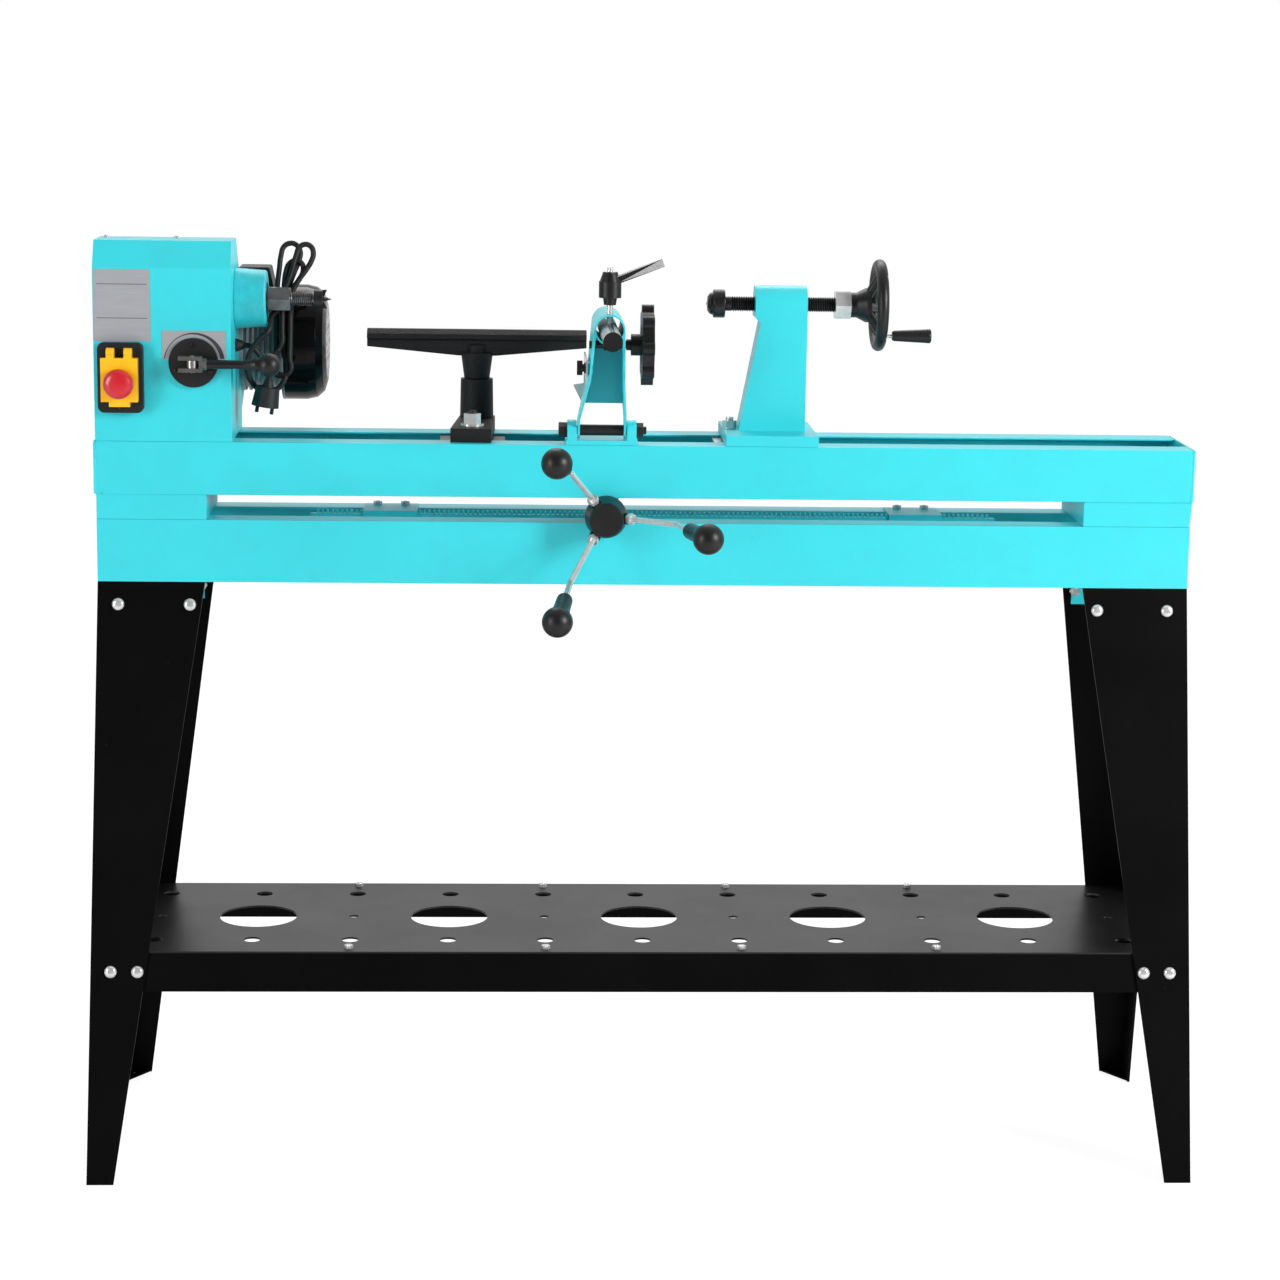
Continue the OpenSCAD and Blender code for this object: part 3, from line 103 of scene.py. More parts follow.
class Wire:
    """A shader socket that Python's arithmetic works on."""

    def __init__(self, finish, socket):
        self.finish, self.socket = finish, socket

    def _sum(self, operation, *values):
        return self.finish.node("Math", {"operation": operation}, values)

    def __add__(self, other):
        return self._sum("ADD", self, other)

    __radd__ = __add__

    def __sub__(self, other):
        return self._sum("SUBTRACT", self, other)

    def __rsub__(self, other):
        return self._sum("SUBTRACT", other, self)

    def __mul__(self, other):
        return self._sum("MULTIPLY", self, other)

    __rmul__ = __mul__

    def __truediv__(self, other):
        return self._sum("DIVIDE", self, other)

    def __abs__(self):
        return self._sum("ABSOLUTE", self)

    def __gt__(self, other):
        return self._sum("GREATER_THAN", self, other)

    def __lt__(self, other):
        return self._sum("LESS_THAN", self, other)

    def root(self):
        return self._sum("SQRT", self)

    def between(self, low, high):
        """0 at low and below, 1 at high and above."""
        return self.finish.node(
            "MapRange", {"clamp": True}, {"Value": self, "From Min": low, "From Max": high}
        )


class Finish:
    """One material under construction; the constants go straight on the shader's sockets."""

    def __init__(self, name, tree=None, **constants):
        if tree is None:
            self.material = bpy.data.materials.new(name)
            self.material.use_nodes = True
            tree = self.material.node_tree
        self.tree = tree
        self.shader = tree.nodes.get("Principled BSDF")
        for socket, value in constants.items():
            self.shader.inputs[socket.replace("_", " ")].default_value = value

    def node(self, kind, settings=None, inputs=(), output=0):
        made = self.tree.nodes.new("ShaderNode" + kind)
        for key, value in (settings or {}).items():
            if key == "stops":
                for place, colour in value:
                    stop = made.color_ramp.elements.new(place)
                    stop.color = colour
                made.color_ramp.elements.remove(made.color_ramp.elements[0])
                made.color_ramp.elements.remove(made.color_ramp.elements[-1])
            else:
                setattr(made, key, value)
        pairs = inputs.items() if isinstance(inputs, dict) else enumerate(inputs)
        for key, value in pairs:
            self.feed(made.inputs[key], value)
        return Wire(self, made.outputs[output])

    def feed(self, socket, value):
        if isinstance(value, Wire):
            self.tree.links.new(value.socket, socket)
        else:
            socket.default_value = value

    def place(self):
        return self.node("TexCoord", output="Object")

    def split(self, vector):
        made = self.tree.nodes.new("ShaderNodeSeparateXYZ")
        self.tree.links.new(vector.socket, made.inputs[0])
        return [Wire(self, made.outputs[i]) for i in range(3)]

    def noise(self, scale, detail=3.0, roughness=0.5, vector=None):
        return self.node(
            "TexNoise",
            {},
            {"Vector": vector or self.place(), "Scale": scale, "Detail": detail, "Roughness": roughness},
            output="Fac",
        )

    def stretched(self, x, y, z):
        return self.node("Mapping", {}, {"Vector": self.place(), "Scale": (x, y, z)})

    def blend(self, factor, one, other):
        return self.node("Mix", {"data_type": "RGBA"}, {0: factor, 6: one, 7: other}, output=2)

    def bump(self, height, distance, strength=1.0):
        return self.node("Bump", {}, {"Height": height, "Distance": distance, "Strength": strength})

    def wear(self, radius):
        """Near 1 on sharp edges, 0 on flat stretches."""
        rounded = self.node("Bevel", {"samples": 3}, {"Radius": radius})
        flat = self.node("NewGeometry", output="Normal")
        return 1 - self.node("VectorMath", {"operation": "DOT_PRODUCT"}, (rounded, flat), output="Value")

    def dress(self, **sockets):
        for name, value in sockets.items():
            self.feed(self.shader.inputs[name.replace("_", " ")], value)
        return self.material


def rgb(r, g, b):
    """Colour from the 0 to 255 values that a screen shows."""
    shown = [c / 255 for c in (r, g, b)]
    return tuple(c / 12.92 if c <= 10 / 255 else ((c + 0.055) / 1.055) ** 2.4 for c in shown) + (1.0,)


def shade(colour, factor):
    return tuple(c * factor for c in colour[:3]) + (1.0,)


TURQUOISE = rgb(46, 205, 216)


def sheet_paint():
    f = Finish("turquoise_sheet_paint", Coat_Weight=0.25, Coat_Roughness=0.22)
    cloud = f.noise(5, 4)
    peel = f.noise(420, 2)
    chips = (f.noise(95, 4, 0.62) > 0.735) * (f.wear(0.003) > 0.05) + (f.noise(60, 5, 0.6) > 0.765)
    grime = f.noise(14, 6, 0.65).between(0.45, 0.8)
    base = f.blend(cloud, shade(TURQUOISE, 0.93), shade(TURQUOISE, 1.05))
    base = f.blend(grime * 0.10, base, rgb(70, 120, 125))
    base = f.blend(chips.between(0, 1) * 0.75, base, rgb(38, 66, 70))
    return f.dress(
        Base_Color=base,
        Roughness=0.36 + cloud * 0.10 + peel * 0.05,
        Normal=f.bump(peel + f.noise(70, 2) * 0.8, 0.00012),
    )


def cast_paint():
    f = Finish("turquoise_cast_paint", Coat_Weight=0.2, Coat_Roughness=0.3)
    grain = f.noise(330, 4, 0.6)
    base = f.blend(f.noise(60, 5).between(0.35, 0.7), shade(TURQUOISE, 0.80), shade(TURQUOISE, 0.98))
    return f.dress(Base_Color=base, Roughness=0.42 + grain * 0.15, Normal=f.bump(grain, 0.0006, 0.8))


def powder_black():
    f = Finish("black_powder_coat", Specular_IOR_Level=0.06)
    grain = f.noise(520, 3, 0.6)
    smear = f.noise(7, 5, 0.6)
    base = f.blend(smear, rgb(4, 4, 4), rgb(9, 9, 9))
    dust = (f.noise(260, 2) > 0.79) * 0.5
    base = f.blend(dust, base, rgb(60, 60, 62))
    return f.dress(Base_Color=base, Roughness=0.33 + smear * 0.22, Normal=f.bump(grain, 0.00010, 0.7))


def shelf_black():
    f = Finish("black_shelf_paint", Specular_IOR_Level=0.42)
    smear = f.noise(5, 5, 0.62)
    grain = f.noise(480, 3, 0.6)
    base = f.blend(smear, rgb(12, 11, 12), rgb(20, 18, 19))
    return f.dress(Base_Color=base, Roughness=0.24 + smear * 0.26, Normal=f.bump(grain, 0.00008, 0.6))


def sand_cast_black():
    f = Finish("black_cast_iron_paint", Specular_IOR_Level=0.25)
    grain = f.noise(380, 5, 0.7)
    base = f.blend(grain, rgb(10, 10, 11), rgb(26, 26, 28))
    return f.dress(Base_Color=base, Roughness=0.38 + grain * 0.25, Normal=f.bump(grain, 0.0009, 0.9))


def moulded_black():
    f = Finish("black_moulded_plastic", Specular_IOR_Level=0.35)
    grain = f.noise(900, 2)
    cloud = f.noise(25, 4)
    return f.dress(
        Base_Color=f.blend(cloud, rgb(17, 17, 18), rgb(26, 26, 27)),
        Roughness=0.42 + cloud * 0.12,
        Normal=f.bump(grain, 0.00015, 0.6),
    )


def gloss_black():
    f = Finish("black_gloss_plastic", Specular_IOR_Level=0.12)
    cloud = f.noise(18, 4)
    return f.dress(
        Base_Color=f.blend(cloud, rgb(6, 6, 7), rgb(12, 12, 13)),
        Roughness=0.08 + cloud * 0.06,
        Normal=f.bump(f.noise(90, 2), 0.0001, 0.4),
    )


def satin_black():
    f = Finish("black_satin_plastic", Specular_IOR_Level=0.4)
    cloud = f.noise(35, 4)
    return f.dress(
        Base_Color=f.blend(cloud, rgb(10, 10, 11), rgb(20, 20, 21)),
        Roughness=0.34 + cloud * 0.14,
        Normal=f.bump(f.noise(500, 3), 0.00012, 0.6),
    )


def coloured_plastic(name, colour):
    f = Finish(name, Coat_Weight=0.3, Coat_Roughness=0.12)
    cloud = f.noise(40, 4)
    edge = f.wear(0.0012).between(0.02, 0.3)
    base = f.blend(cloud, shade(colour, 0.94), shade(colour, 1.04))
    return f.dress(
        Base_Color=f.blend(edge * 0.35, base, shade(colour, 0.7)),
        Roughness=0.30 + cloud * 0.1,
        Normal=f.bump(f.noise(700, 2), 0.0001, 0.5),
    )


def soft_rubber():
    f = Finish("black_rubber", Specular_IOR_Level=0.4)
    cloud = f.noise(60, 4)
    return f.dress(
        Base_Color=f.blend(cloud, rgb(17, 17, 18), rgb(28, 28, 29)),
        Roughness=0.48 + cloud * 0.14,
        Normal=f.bump(f.noise(1200, 2), 0.0001, 0.5),
    )


def bright_zinc():
    f = Finish("bright_zinc", Metallic=0.6)
    cloud = f.noise(120, 4)
    spots = f.noise(700, 3, 0.6)
    return f.dress(
        Base_Color=f.blend(cloud, rgb(196, 196, 192), rgb(240, 241, 242)),
        Roughness=0.12 + cloud * 0.14 + spots * 0.06,
        Normal=f.bump(spots, 0.0001, 0.4),
    )


def ground_steel(name, light, dark, axis="y"):
    f = Finish(name, Metallic=1.0)
    along = {"x": (900, 6, 6), "y": (6, 900, 6), "z": (6, 6, 900)}[axis]
    marks = f.noise(1, 3, 0.6, f.stretched(*along))
    stain = f.noise(30, 5, 0.6)
    base = f.blend(stain.between(0.3, 0.75), light, dark)
    return f.dress(Base_Color=base, Roughness=0.22 + marks * 0.2, Normal=f.bump(marks, 0.00006, 0.7))


def dark_oxide():
    f = Finish("black_oxide_steel", Metallic=0.9)
    stain = f.noise(45, 5, 0.6)
    return f.dress(
        Base_Color=f.blend(stain, rgb(38, 38, 40), rgb(72, 71, 72)),
        Roughness=0.30 + stain * 0.2,
        Normal=f.bump(f.noise(600, 3), 0.0001, 0.5),
    )


def brushed_plate():
    """Two blank plates: ruled lines on the upper one, a widening arc round the speed disc on the other."""
    f = Finish("silver_plate", Metallic=0.1)
    x, y, z = f.split(f.place())
    low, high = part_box("blank_plates")
    left, width = low.x, 71 * MM
    brushed = f.noise(1, 3, 0.5, f.stretched(30, 30, 1400))
    base = f.blend(brushed, rgb(146, 148, 153), rgb(166, 168, 172))
    lines = 0
    for drop in (18.5, 61.0):
        lines = lines + (abs(z - (high.z - drop * MM)) < 0.4 * MM)
    lines = lines * (x > left + 4 * MM) * (x < left + width - 4 * MM)
    disc_low, disc_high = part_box("speed_disc")
    dx, dz = x - (disc_low.x + disc_high.x) / 2, z - (disc_low.z + disc_high.z) / 2
    radius = (dx * dx + dz * dz).root()
    turn = dx.between(-35 * MM, 36 * MM)
    arc = (abs(radius - 36.5 * MM) < 0.5 * MM + turn * turn * 2.2 * MM) * (dz > 5 * MM) * (x > left + width)
    ink = (lines + arc).between(0, 1)
    return f.dress(
        Base_Color=f.blend(ink * 0.9, base, rgb(24, 25, 28)),
        Roughness=0.34 + brushed * 0.12,
        Normal=f.bump(brushed, 0.00002, 0.4),
    )


def casting_grey():
    f = Finish("grey_die_casting", Metallic=0.85)
    cloud = f.noise(70, 4)
    return f.dress(
        Base_Color=f.blend(cloud, rgb(88, 86, 84), rgb(124, 122, 120)),
        Roughness=0.38 + cloud * 0.15,
        Normal=f.bump(f.noise(420, 4), 0.0003, 0.6),
    )


def motor_grey():
    f = Finish("motor_grey_paint", Metallic=0.4)
    cloud = f.noise(50, 4)
    return f.dress(
        Base_Color=f.blend(cloud, rgb(120, 124, 126), rgb(150, 154, 156)),
        Roughness=0.40 + cloud * 0.12,
        Normal=f.bump(f.noise(500, 3), 0.0002, 0.5),
    )


PAINT = sheet_paint()
CAST = cast_paint()
POWDER = powder_black()
SHELF = shelf_black()
SAND = sand_cast_black()
MOULDED = moulded_black()
GLOSS = gloss_black()
SATIN = satin_black()
RUBBER = soft_rubber()
ZINC = bright_zinc()
STEEL_X = ground_steel("turned_steel", rgb(150, 150, 152), rgb(96, 95, 95), "x")
STEEL_Y = ground_steel("ground_steel_bar", rgb(190, 190, 192), rgb(150, 149, 148), "y")
OXIDE = dark_oxide()
YELLOW = coloured_plastic("yellow_plastic", rgb(250, 188, 12))
RED = coloured_plastic("red_plastic", rgb(196, 20, 38))
GREEN = coloured_plastic("green_plastic", rgb(30, 120, 60))
PLATE = brushed_plate()
MOTOR = motor_grey()
CASTING = casting_grey()


# ---------------------------------------------------------------- meshes


def add_piece(name, mesh, material, body, *nodes):
    piece = bpy.data.objects.new(name, mesh)
    bpy.context.scene.collection.objects.link(piece)
    flat_faces = piece.modifiers.new("flat_faces", "WEIGHTED_NORMAL")
    flat_faces.keep_sharp = True
    flat_faces.weight = 80
    mesh.materials.clear()
    mesh.materials.append(material)
    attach(piece, body)
    if nodes:
        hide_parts(*nodes)
    return piece


def smooth_by_angle(bm, limit):
    for face in bm.faces:
        face.smooth = True
    for edge in bm.edges:
        edge.smooth = len(edge.link_faces) == 2 and edge.calc_face_angle(pi) < limit


def softened(node, material, width, limit=24, segments=2, parts=()):
    """A CAD node's shape with its sharp edges rounded; it stands for the node.

    parts gives another material to the faces whose middles pass a test.
    """
    bm = bmesh.new()
    bm.from_mesh(NODES[node].data)
    bmesh.ops.remove_doubles(bm, verts=bm.verts, dist=2e-6)
    bmesh.ops.dissolve_limit(bm, angle_limit=radians(0.4), verts=bm.verts, edges=bm.edges)
    sharp = [e for e in bm.edges if len(e.link_faces) == 2 and e.calc_face_angle(0) > radians(limit)]
    bmesh.ops.bevel(
        bm, geom=sharp, offset=width, segments=segments, profile=0.5, affect="EDGES", clamp_overlap=True
    )
    bmesh.ops.triangulate(bm, faces=[f for f in bm.faces if len(f.verts) > 4])
    smooth_by_angle(bm, radians(limit))
    mesh = bpy.data.meshes.new(node + "_softened")
    bm.to_mesh(mesh)
    bm.free()
    piece = add_piece(node + "_softened", mesh, material, BODY_OF[node], node)
    for index, (other, test) in enumerate(parts):
        mesh.materials.append(other)
        for face in mesh.polygons:
            if test(face.center / MM):
                face.material_index = index + 1
    return piece


def axis_frame(origin, direction):
    """Matrix whose Z runs along direction from origin."""
    return Matrix.Translation(origin) @ Vector(direction).to_track_quat("Z", "Y").to_matrix().to_4x4()


def lathe(bm, profile, matrix, sides=48):
    """Turns (radius, height) pairs about Z and puts the result at matrix."""
    rings = []
    for radius, height in profile:
        if radius < 1e-7:
            rings.append([bm.verts.new(matrix @ Vector((0, 0, height)))])
        else:
            turns = [2 * pi * i / sides for i in range(sides)]
            places = [Vector((radius * cos(a), radius * sin(a), height)) for a in turns]
            rings.append([bm.verts.new(matrix @ place) for place in places])
    for one, two in zip(rings, rings[1:]):
        for i in range(sides):
            corners = [one[i % len(one)], one[(i + 1) % len(one)], two[(i + 1) % len(two)], two[i % len(two)]]
            unique = list(dict.fromkeys(corners))
            if len(unique) > 2:
                bm.faces.new(unique)
    for ring, order in ((rings[0], -1), (rings[-1], 1)):
        if len(ring) > 1:
            bm.faces.new(ring[::order])


def thread(bm, radius, pitch, length, matrix, depth=None, sides=28):
    """A V thread along Z, its crests at radius, run out at both ends."""
    depth = depth or 0.55 * pitch
    steps = int(length / pitch * sides)
    shape = [(0.0, -0.5), (1.0, -0.12), (1.0, 0.12), (0.0, 0.5)]
    rows = []
    for k in range(steps + 1):
        a = 2 * pi * k / sides
        height = length * k / steps
        fade = min(1, k / sides, (steps - k) / sides)
        row = []
        for rise, offset in shape[:-1]:
            r = radius - depth + depth * rise * fade
            z = min(max(height + offset * pitch, 0), length)
            row.append(bm.verts.new(matrix @ Vector((r * cos(a), r * sin(a), z))))
        rows.append(row)
    for k in range(steps):
        for j in range(2):
            bm.faces.new((rows[k][j], rows[k + 1][j], rows[k + 1][j + 1], rows[k][j + 1]))
        if k + sides < len(rows) - 1:
            bm.faces.new((rows[k][2], rows[k + 1][2], rows[k + 1 + sides][0], rows[k + sides][0]))
    core = radius - depth - 0.02 * MM
    lathe(bm, [(0, 0), (core, 0), (core, length), (0, length)], matrix, sides)


def hex_nut(bm, across, height, matrix, bore=0.0):
    """Hexagon with its corners chamfered like a turned nut."""
    corner = across / 2 / cos(radians(30))
    chamfer = (corner - across / 2) * 0.9
    verts = []
    for z, inset in ((0, chamfer), (chamfer * 0.6, 0), (height - chamfer * 0.6, 0), (height, chamfer)):
        ring = []
        for i in range(24):
            a = 2 * pi * i / 24
            edge = across / 2 / cos((a % radians(60)) - radians(30))
            r = min(edge, corner - inset)
            ring.append(bm.verts.new(matrix @ Vector((r * cos(a), r * sin(a), z))))
        verts.append(ring)
    for one, two in zip(verts, verts[1:]):
        for i in range(24):
            bm.faces.new((one[i], one[(i + 1) % 24], two[(i + 1) % 24], two[i]))
    bm.faces.new(verts[0][::-1])
    bm.faces.new(verts[-1])


def finish_mesh(bm, name, limit=32):
    bmesh.ops.recalc_face_normals(bm, faces=bm.faces)
    smooth_by_angle(bm, radians(limit))
    mesh = bpy.data.meshes.new(name)
    bm.to_mesh(mesh)
    bm.free()
    return mesh


# ---------------------------------------------------------------- mains lead

CORD_D = 7 * MM
HANK_LEAN = math.tan(radians(14))
# Routes in millimetres from the housing's right wall and the top of the bed.
LEAD_IN = [(10, -10, 116), (16, -10, 115.5), (22, -10, 113), (27, -9, 108), (33, -6, 100), (40, -1, 93)]
LEAD_OUT = [
    (52, 6, 107), (51, -3, 106), (49, -12, 104), (46.7, -20, 99.5), (45.5, -26, 92), (44.9, -28, 82.4),
    (43.5, -28, 73.5),
]
LOOSE_TURN = [
    (54, 20, 158), (49, 11, 156.5), (46, 2, 153.5), (44.5, -7, 149), (44.5, -15, 142.5), (42.5, -21, 135.5),
    (35, -22, 128.5), (28, -22, 121), (21.5, -22, 112), (17, -21, 102), (14.8, -19.5, 91), (16, -16.5, 80),
    (20, -13, 70), (26.5, -9, 61.5), (35, -5.5, 56.5), (44, -3.5, 55.5), (52.5, -2, 59.5), (59, -0.5, 67),
    (63, 1.5, 76.5), (65, 4, 88),
]
TALL_LOOP = [
    (63, 180), (68, 195), (73, 208), (78.5, 222), (79.5, 233), (74, 241), (66, 242.5), (58.5, 238),
    (55, 227), (53, 210), (51, 192), (50, 176),
]
SIDE_LOOP = [
    (70, 180), (78, 196), (88, 210), (95, 222), (97, 231), (94, 239), (86.5, 242), (79, 238),
    (75, 228), (70, 210), (63, 190), (56, 174),
]
SHORT_LOOP = [
    (64, 176), (72, 188), (80, 199), (84, 209), (82, 217.5), (74.5, 221), (66.5, 217.5), (62, 207),
    (60, 192), (59.5, 176),
]
LEFT, MIDDLE, RIGHT = 50, 59, 68
BACK, FRONT = 3.8, -3.8


def hank_point(x, z, layer):
    """A place in the hank, which leans back at its top."""
    return (x, 26 + (z - 175) * HANK_LEAN + layer, z)


def strand(x, low, high, layer):
    steps = 3
    return [hank_point(x, low + (high - low) * i / steps, layer) for i in range(steps + 1)]


def loop(points, layer):
    return [hank_point(x, z, layer) for x, z in points]


def fold(start, end, low, layer, next_layer):
    """The turn at the foot of the hank, from one column to another."""
    middle, reach = (start + end) / 2, (end - start) / 2
    return [
        hank_point(middle - reach * 1.22 * cos(a), low - 11 * sin(a), layer + (next_layer - layer) * a / pi)
        for a in (pi * k / 6 for k in range(7))
    ]


def hank_route():
    """Three long turns, and a loose one that hangs in front of the motor."""
    return (
        [(46, 2, 84), (53, 3, 76), (61, 3, 77), (66, 5, 88)]
        + strand(RIGHT, 100, 165, BACK)
        + loop(TALL_LOOP, BACK)
        + strand(LEFT, 160, 96, BACK)
        + fold(LEFT, RIGHT, 88, BACK, FRONT)
        + strand(RIGHT, 96, 165, FRONT)
        + loop(SIDE_LOOP, FRONT)
        + LOOSE_TURN
        + strand(MIDDLE + 1, 104, 162, BACK)
        + loop(SHORT_LOOP, 0)
        + strand(MIDDLE - 1, 160, 118, FRONT)
    )


def add_mains_lead(start):
    route = [start + Vector(p) * MM for p in LEAD_IN + hank_route() + LEAD_OUT]
    curve = bpy.data.curves.new("mains_lead", "CURVE")
    curve.dimensions = "3D"
    curve.bevel_depth = CORD_D / 2
    curve.bevel_resolution = 4
    curve.use_fill_caps = True
    curve.resolution_u = 6
    line = curve.splines.new("BEZIER")
    line.bezier_points.add(len(route) - 1)
    for point, place in zip(line.bezier_points, route):
        point.co = place
        point.handle_left_type = point.handle_right_type = "AUTO"
    lead = bpy.data.objects.new("mains_lead", curve)
    bpy.context.scene.collection.objects.link(lead)
    curve.materials.append(RUBBER)
    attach(lead, "bed")
    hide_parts("power_cord", "cord_bundle")
    return lead


add_camera()
WALL = Vector((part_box("headstock_housing")[1].x, 0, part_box("headstock_housing")[0].z))
lead = add_mains_lead(WALL)
NODES["power_plug"].data.materials.clear()
NODES["power_plug"].data.materials.append(RUBBER)

# ---------------------------------------------------------------- carried-over sheet metal and castings

# Places in millimetres that part one material from another within a node.
AXIS_Z = 1111
NUT_END = 261
RIM_X = 298

SOFT = {
    "leg_front_left": (POWDER, 1.3), "leg_front_right": (POWDER, 1.3),
    "leg_rear_left": (POWDER, 1.3), "leg_rear_right": (POWDER, 1.3),
    "shelf_plate": (SHELF, 0.8), "shelf_rails": (POWDER, 1.0),
    "leg_bolts": (ZINC, 0.4), "machine_screws": (ZINC, 0.3),
    "bed_rails": (PAINT, 1.4), "lower_rails": (PAINT, 1.4), "bed_ends": (PAINT, 1.2),
    "rack_bar": (PAINT, 0.25),
    "headstock_housing": (PAINT, 1.4, 12), "bearing_housing": (CAST, 1.2), "spindle_bearings": (STEEL_X, 0.3),
    "drive_centre": (OXIDE, 0.4), "motor_body": (MOTOR, 0.6), "motor_end_cover": (GLOSS, 0.8),
    "terminal_box": (MOULDED, 2.0), "switch_base": (MOULDED, 1.4), "switch_flap": (YELLOW, 1.2),
    "stop_button": (RED, 0.3), "start_button": (GREEN, 0.5), "speed_disc": (MOULDED, 0.8),
    "speed_shaft": (STEEL_Y, 0.4),
    "cable_grommet": (RUBBER, 0.5), "banjo": (SAND, 2.0), "banjo_bolt": (OXIDE, 0.5),
    "banjo_nut": (ZINC, 0.6),
    "rest_post": (SAND, 0.8), "tool_rest": (SAND, 2.2), "rest_lock_lever": (MOULDED, 1.0),
    "carriage": (PAINT, 1.2), "copier_tower": (PAINT, 0.9, 18), "cutter": (OXIDE, 0.4),
    "feed_wheel": (SATIN, 2.6), "thumb_screw": (MOULDED, 0.8), "tracer_plate": (ZINC, 0.5),
    "capstan_hub": (SATIN, 0.8), "capstan_rods": (ZINC, 0.4), "capstan_knobs": (SATIN, 0.6),
    "tailstock_body": (PAINT, 1.2, 20), "tail_clamp": (ZINC, 0.5), "crank_handle": (SATIN, 0.6),
}
for node, (material, width, *limit) in SOFT.items():
    softened(node, material, width * MM, *limit)

lever_x = (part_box("speed_shaft")[0].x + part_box("speed_shaft")[1].x) / 2 / MM
softened(
    "speed_lever", SATIN, 0.5 * MM,
    parts=[
        (ZINC, lambda p: lever_x + 12.9 < p.x < lever_x + 18.2),
        (CASTING, lambda p: p.x < lever_x + 18),
    ],
)
softened("pivot_bolt", MOULDED, 0.5 * MM, parts=[(OXIDE, lambda p: p.x < -90 or p.x > -32)])
softened("cutter_bar", STEEL_Y, 0.15 * MM, parts=[(SATIN, lambda p: p.y < -246)])
softened("clamp_lever", SATIN, 1.2 * MM, parts=[(ZINC, lambda p: p.z < 1118.5 or p.z > 1159.8)])
softened("live_centre", OXIDE, 0.5 * MM, parts=[(STEEL_X, lambda p: abs(p.y) < 8 and abs(p.z - AXIS_Z) < 8)])
softened(
    "tail_wheel", SATIN, 0.8 * MM,
    parts=[
        (ZINC, lambda p: p.x < NUT_END + 0.1),
        (ZINC, lambda p: p.x > RIM_X + 4 and abs(p.z - AXIS_Z) < 40 and abs(p.y) < 40),
    ],
)
for node, material in (
    ("spindle_pulley", STEEL_X), ("motor_pulley", STEEL_X), ("drive_belt", RUBBER),
    ("motor_rotor", STEEL_X), ("blank_plates", PLATE),
):
    NODES[node].data.materials.clear()
    NODES[node].data.materials.append(material)


# ---------------------------------------------------------------- threads, spindle and screws


def add_spindle():
    """Shaft, chamfered hexagon collar and threaded nose."""
    low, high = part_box("spindle")
    boss_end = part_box("bearing_housing")[1].x
    collar_end, nose_end = boss_end + 30 * MM, boss_end + 60 * MM
    across = 33 * MM * cos(radians(30))
    line = axis_frame((0, 0, AXIS_Z * MM), (1, 0, 0))
    bm = bmesh.new()
    shaft_r, shaft_end = 9.95 * MM, boss_end + 1 * MM
    lathe(bm, [(0, low.x), (shaft_r, low.x), (shaft_r, shaft_end), (0, shaft_end)], line)
    collar_start = boss_end + 0.3 * MM
    hex_nut(bm, across, collar_end - boss_end - 0.3 * MM, line @ Matrix.Translation((0, 0, collar_start)))
    thread(bm, 9 * MM, 2.5 * MM, nose_end - collar_end, line @ Matrix.Translation((0, 0, collar_end)))
    lathe(bm, [(0, nose_end), (8 * MM, nose_end), (8 * MM, high.x), (0, high.x)], line)
    add_piece("spindle_turned", finish_mesh(bm, "spindle_turned"), STEEL_X, BODY_OF["spindle"], "spindle")


def add_quill():
    low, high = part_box("quill_screw")
    line = axis_frame((low.x, 0, AXIS_Z * MM), (1, 0, 0))
    radius = (high.z - low.z) / 2
    bm = bmesh.new()
    body, tip, plain = radius - 0.4 * MM, radius - 1.4 * MM, 8 * MM
    lathe(bm, [(0, 0), (tip, 0), (body, 1 * MM), (body, plain), (0, plain)], line)
    thread(bm, radius, 3 * MM, high.x - low.x - 6 * MM, line @ Matrix.Translation((0, 0, 6 * MM)))
    mesh = finish_mesh(bm, "quill_threaded")
    add_piece("quill_threaded", mesh, OXIDE, BODY_OF["quill_screw"], "quill_screw")


def add_screw(name, place, direction, radius, material, body):
    """Round screw head with a round recess sunk in its top."""
    socket = radius * 0.42
    bm = bmesh.new()
    lathe(
        bm,
        [(radius, 0), (radius * 0.98, radius * 0.22), (radius * 0.75, radius * 0.48), (socket, radius * 0.56),
         (socket * 0.9, radius * 0.1), (0, radius * 0.06)],
        axis_frame(place, direction),
        24,
    )
    add_piece(name, finish_mesh(bm, name), material, body)


def add_disc_and_bezel_screws():
    low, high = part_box("speed_disc")
    centre = (low + high) / 2
    for k, angle in enumerate((90, 205, 335)):
        a, reach = radians(angle), 23.5 * MM
        place = (centre.x + reach * cos(a), low.y, centre.z + reach * sin(a))
        add_screw(f"disc_screw_{k}", place, (0, -1, 0), 3.6 * MM, OXIDE, BODY_OF["speed_disc"])
    low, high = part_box("switch_base")
    middle = (low + high) / 2
    for k, rise in enumerate((-37.5, 38.5)):
        place = (middle.x, low.y, middle.z + rise * MM)
        add_screw(f"bezel_screw_{k}", place, (0, -1, 0), 2.9 * MM, OXIDE, BODY_OF["switch_base"])


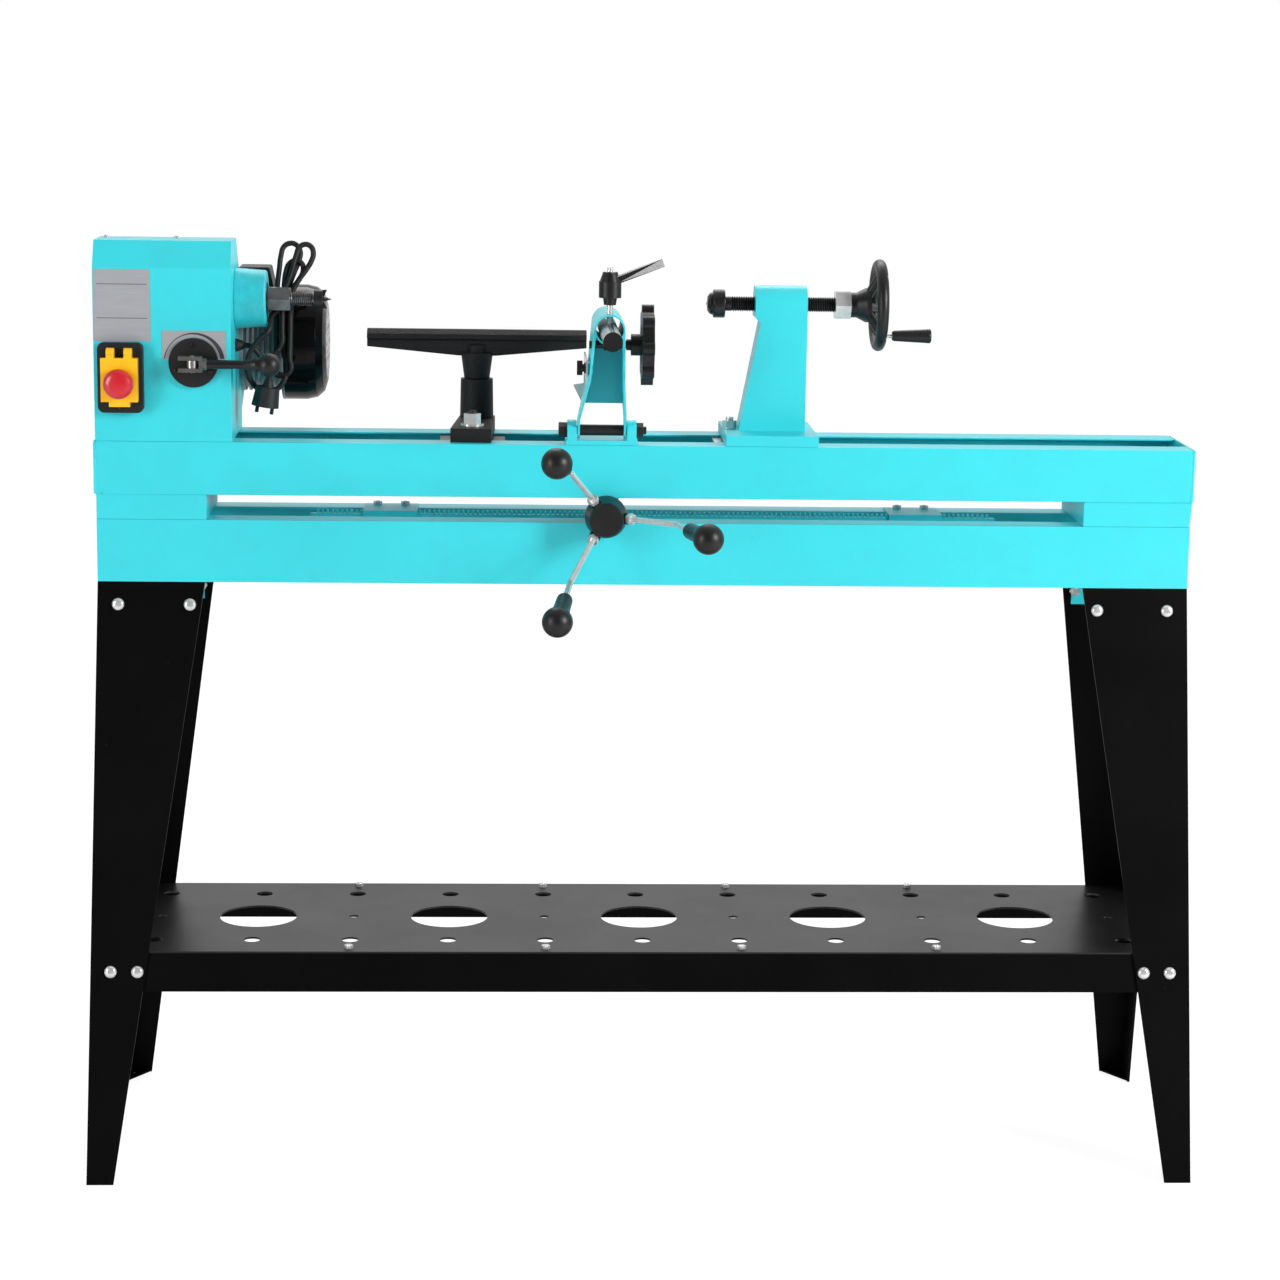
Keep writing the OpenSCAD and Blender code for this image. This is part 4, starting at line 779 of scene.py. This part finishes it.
def add_hank_tie():
    """Strap round the hank, behind the spindle collar."""
    rise = 175
    width, depth, round_r, strap, tall = 31 * MM, 18.5 * MM, 8 * MM, 1.3 * MM, 5 * MM
    lean = Matrix.Rotation(-math.atan(HANK_LEAN), 4, "X")
    matrix = Matrix.Translation(WALL + Vector((59, 26, rise)) * MM) @ lean
    bm = bmesh.new()
    rings = []
    for grow, z in ((0, -tall / 2), (strap, -tall / 2), (strap, tall / 2), (0, tall / 2)):
        ring = []
        for sx, sy, start in ((1, 1, 0), (-1, 1, 90), (-1, -1, 180), (1, -1, 270)):
            for step in range(7):
                a = radians(start + step * 15)
                r = round_r + grow
                corner = Vector((sx * (width / 2 - round_r), sy * (depth / 2 - round_r), z))
                ring.append(bm.verts.new(matrix @ (corner + Vector((r * cos(a), r * sin(a), 0)))))
        rings.append(ring)
    for k in range(4):
        one, two = rings[k], rings[(k + 1) % 4]
        for i in range(len(one)):
            bm.faces.new((one[i], one[(i + 1) % len(one)], two[(i + 1) % len(one)], two[i]))
    add_piece("hank_tie", finish_mesh(bm, "hank_tie"), RUBBER, "bed")


add_spindle()
add_quill()
add_disc_and_bezel_screws()
add_hank_tie()


# ---------------------------------------------------------------- floor, light and background


def add_floor():
    mesh = bpy.data.meshes.new("floor")
    mesh.from_pydata([(-9, -9, 0), (9, -9, 0), (9, 9, 0), (-9, 9, 0)], [], [(0, 1, 2, 3)])
    floor = bpy.data.objects.new("floor", mesh)
    bpy.context.scene.collection.objects.link(floor)
    floor.location.z = -0.0005
    f = Finish("pale_floor", Base_Color=(0.85, 0.85, 0.85, 1), Roughness=0.7)
    seen = f.node("LightPath", output="Is Camera Ray")
    white = f.node("Emission", {}, {"Color": (1, 1, 1, 1), "Strength": 1.24})
    out = f.tree.nodes["Material Output"]
    lit = Wire(f, f.shader.outputs[0])
    f.feed(out.inputs[0], f.node("MixShader", {}, (seen * 0.72, lit, white)))
    mesh.materials.append(f.material)


def add_world():
    world = bpy.data.worlds.new("studio")
    bpy.context.scene.world = world
    world.use_nodes = True
    f = Finish("studio", tree=world.node_tree)
    x, y, z = f.split(f.node("TexCoord", output="Generated"))
    seen = f.node("LightPath", output="Is Camera Ray")
    glass = f.node("LightPath", output="Is Transmission Ray")
    back = y.between(-0.35, 0.5)
    overhead = z.between(0.3, 0.95)
    mirror = f.node("LightPath", output="Is Glossy Ray")
    level = 0.27 + back * 0.58 - overhead * (1 - mirror) * 0.12 - mirror * (0.16 - back * 0.12)
    strength = (seen + glass).between(0, 1) * (1 - level) + level
    f.feed(world.node_tree.nodes["Background"].inputs["Strength"], strength)
    world.node_tree.nodes["Background"].inputs["Color"].default_value = (1, 1, 1, 1)


add_floor()
add_world()
add_softbox("top_light", (0.1, -0.6, 3.2), (0, 0, 0.9), 2.4, 1.2, 5)
add_softbox("left_light", (-3.0, -2.3, 1.5), (-0.2, 0, 0.9), 0.8, 2.0, 57)
add_softbox("right_light", (3.0, -2.3, 2.1), (0.1, 0, 0.85), 0.8, 1.6, 148)
add_softbox("back_light", (0.1, 1.9, 2.9), (0, 0, 0.9), 2.4, 1.0, 30)
bpy.context.scene.view_settings.view_transform = "Standard"
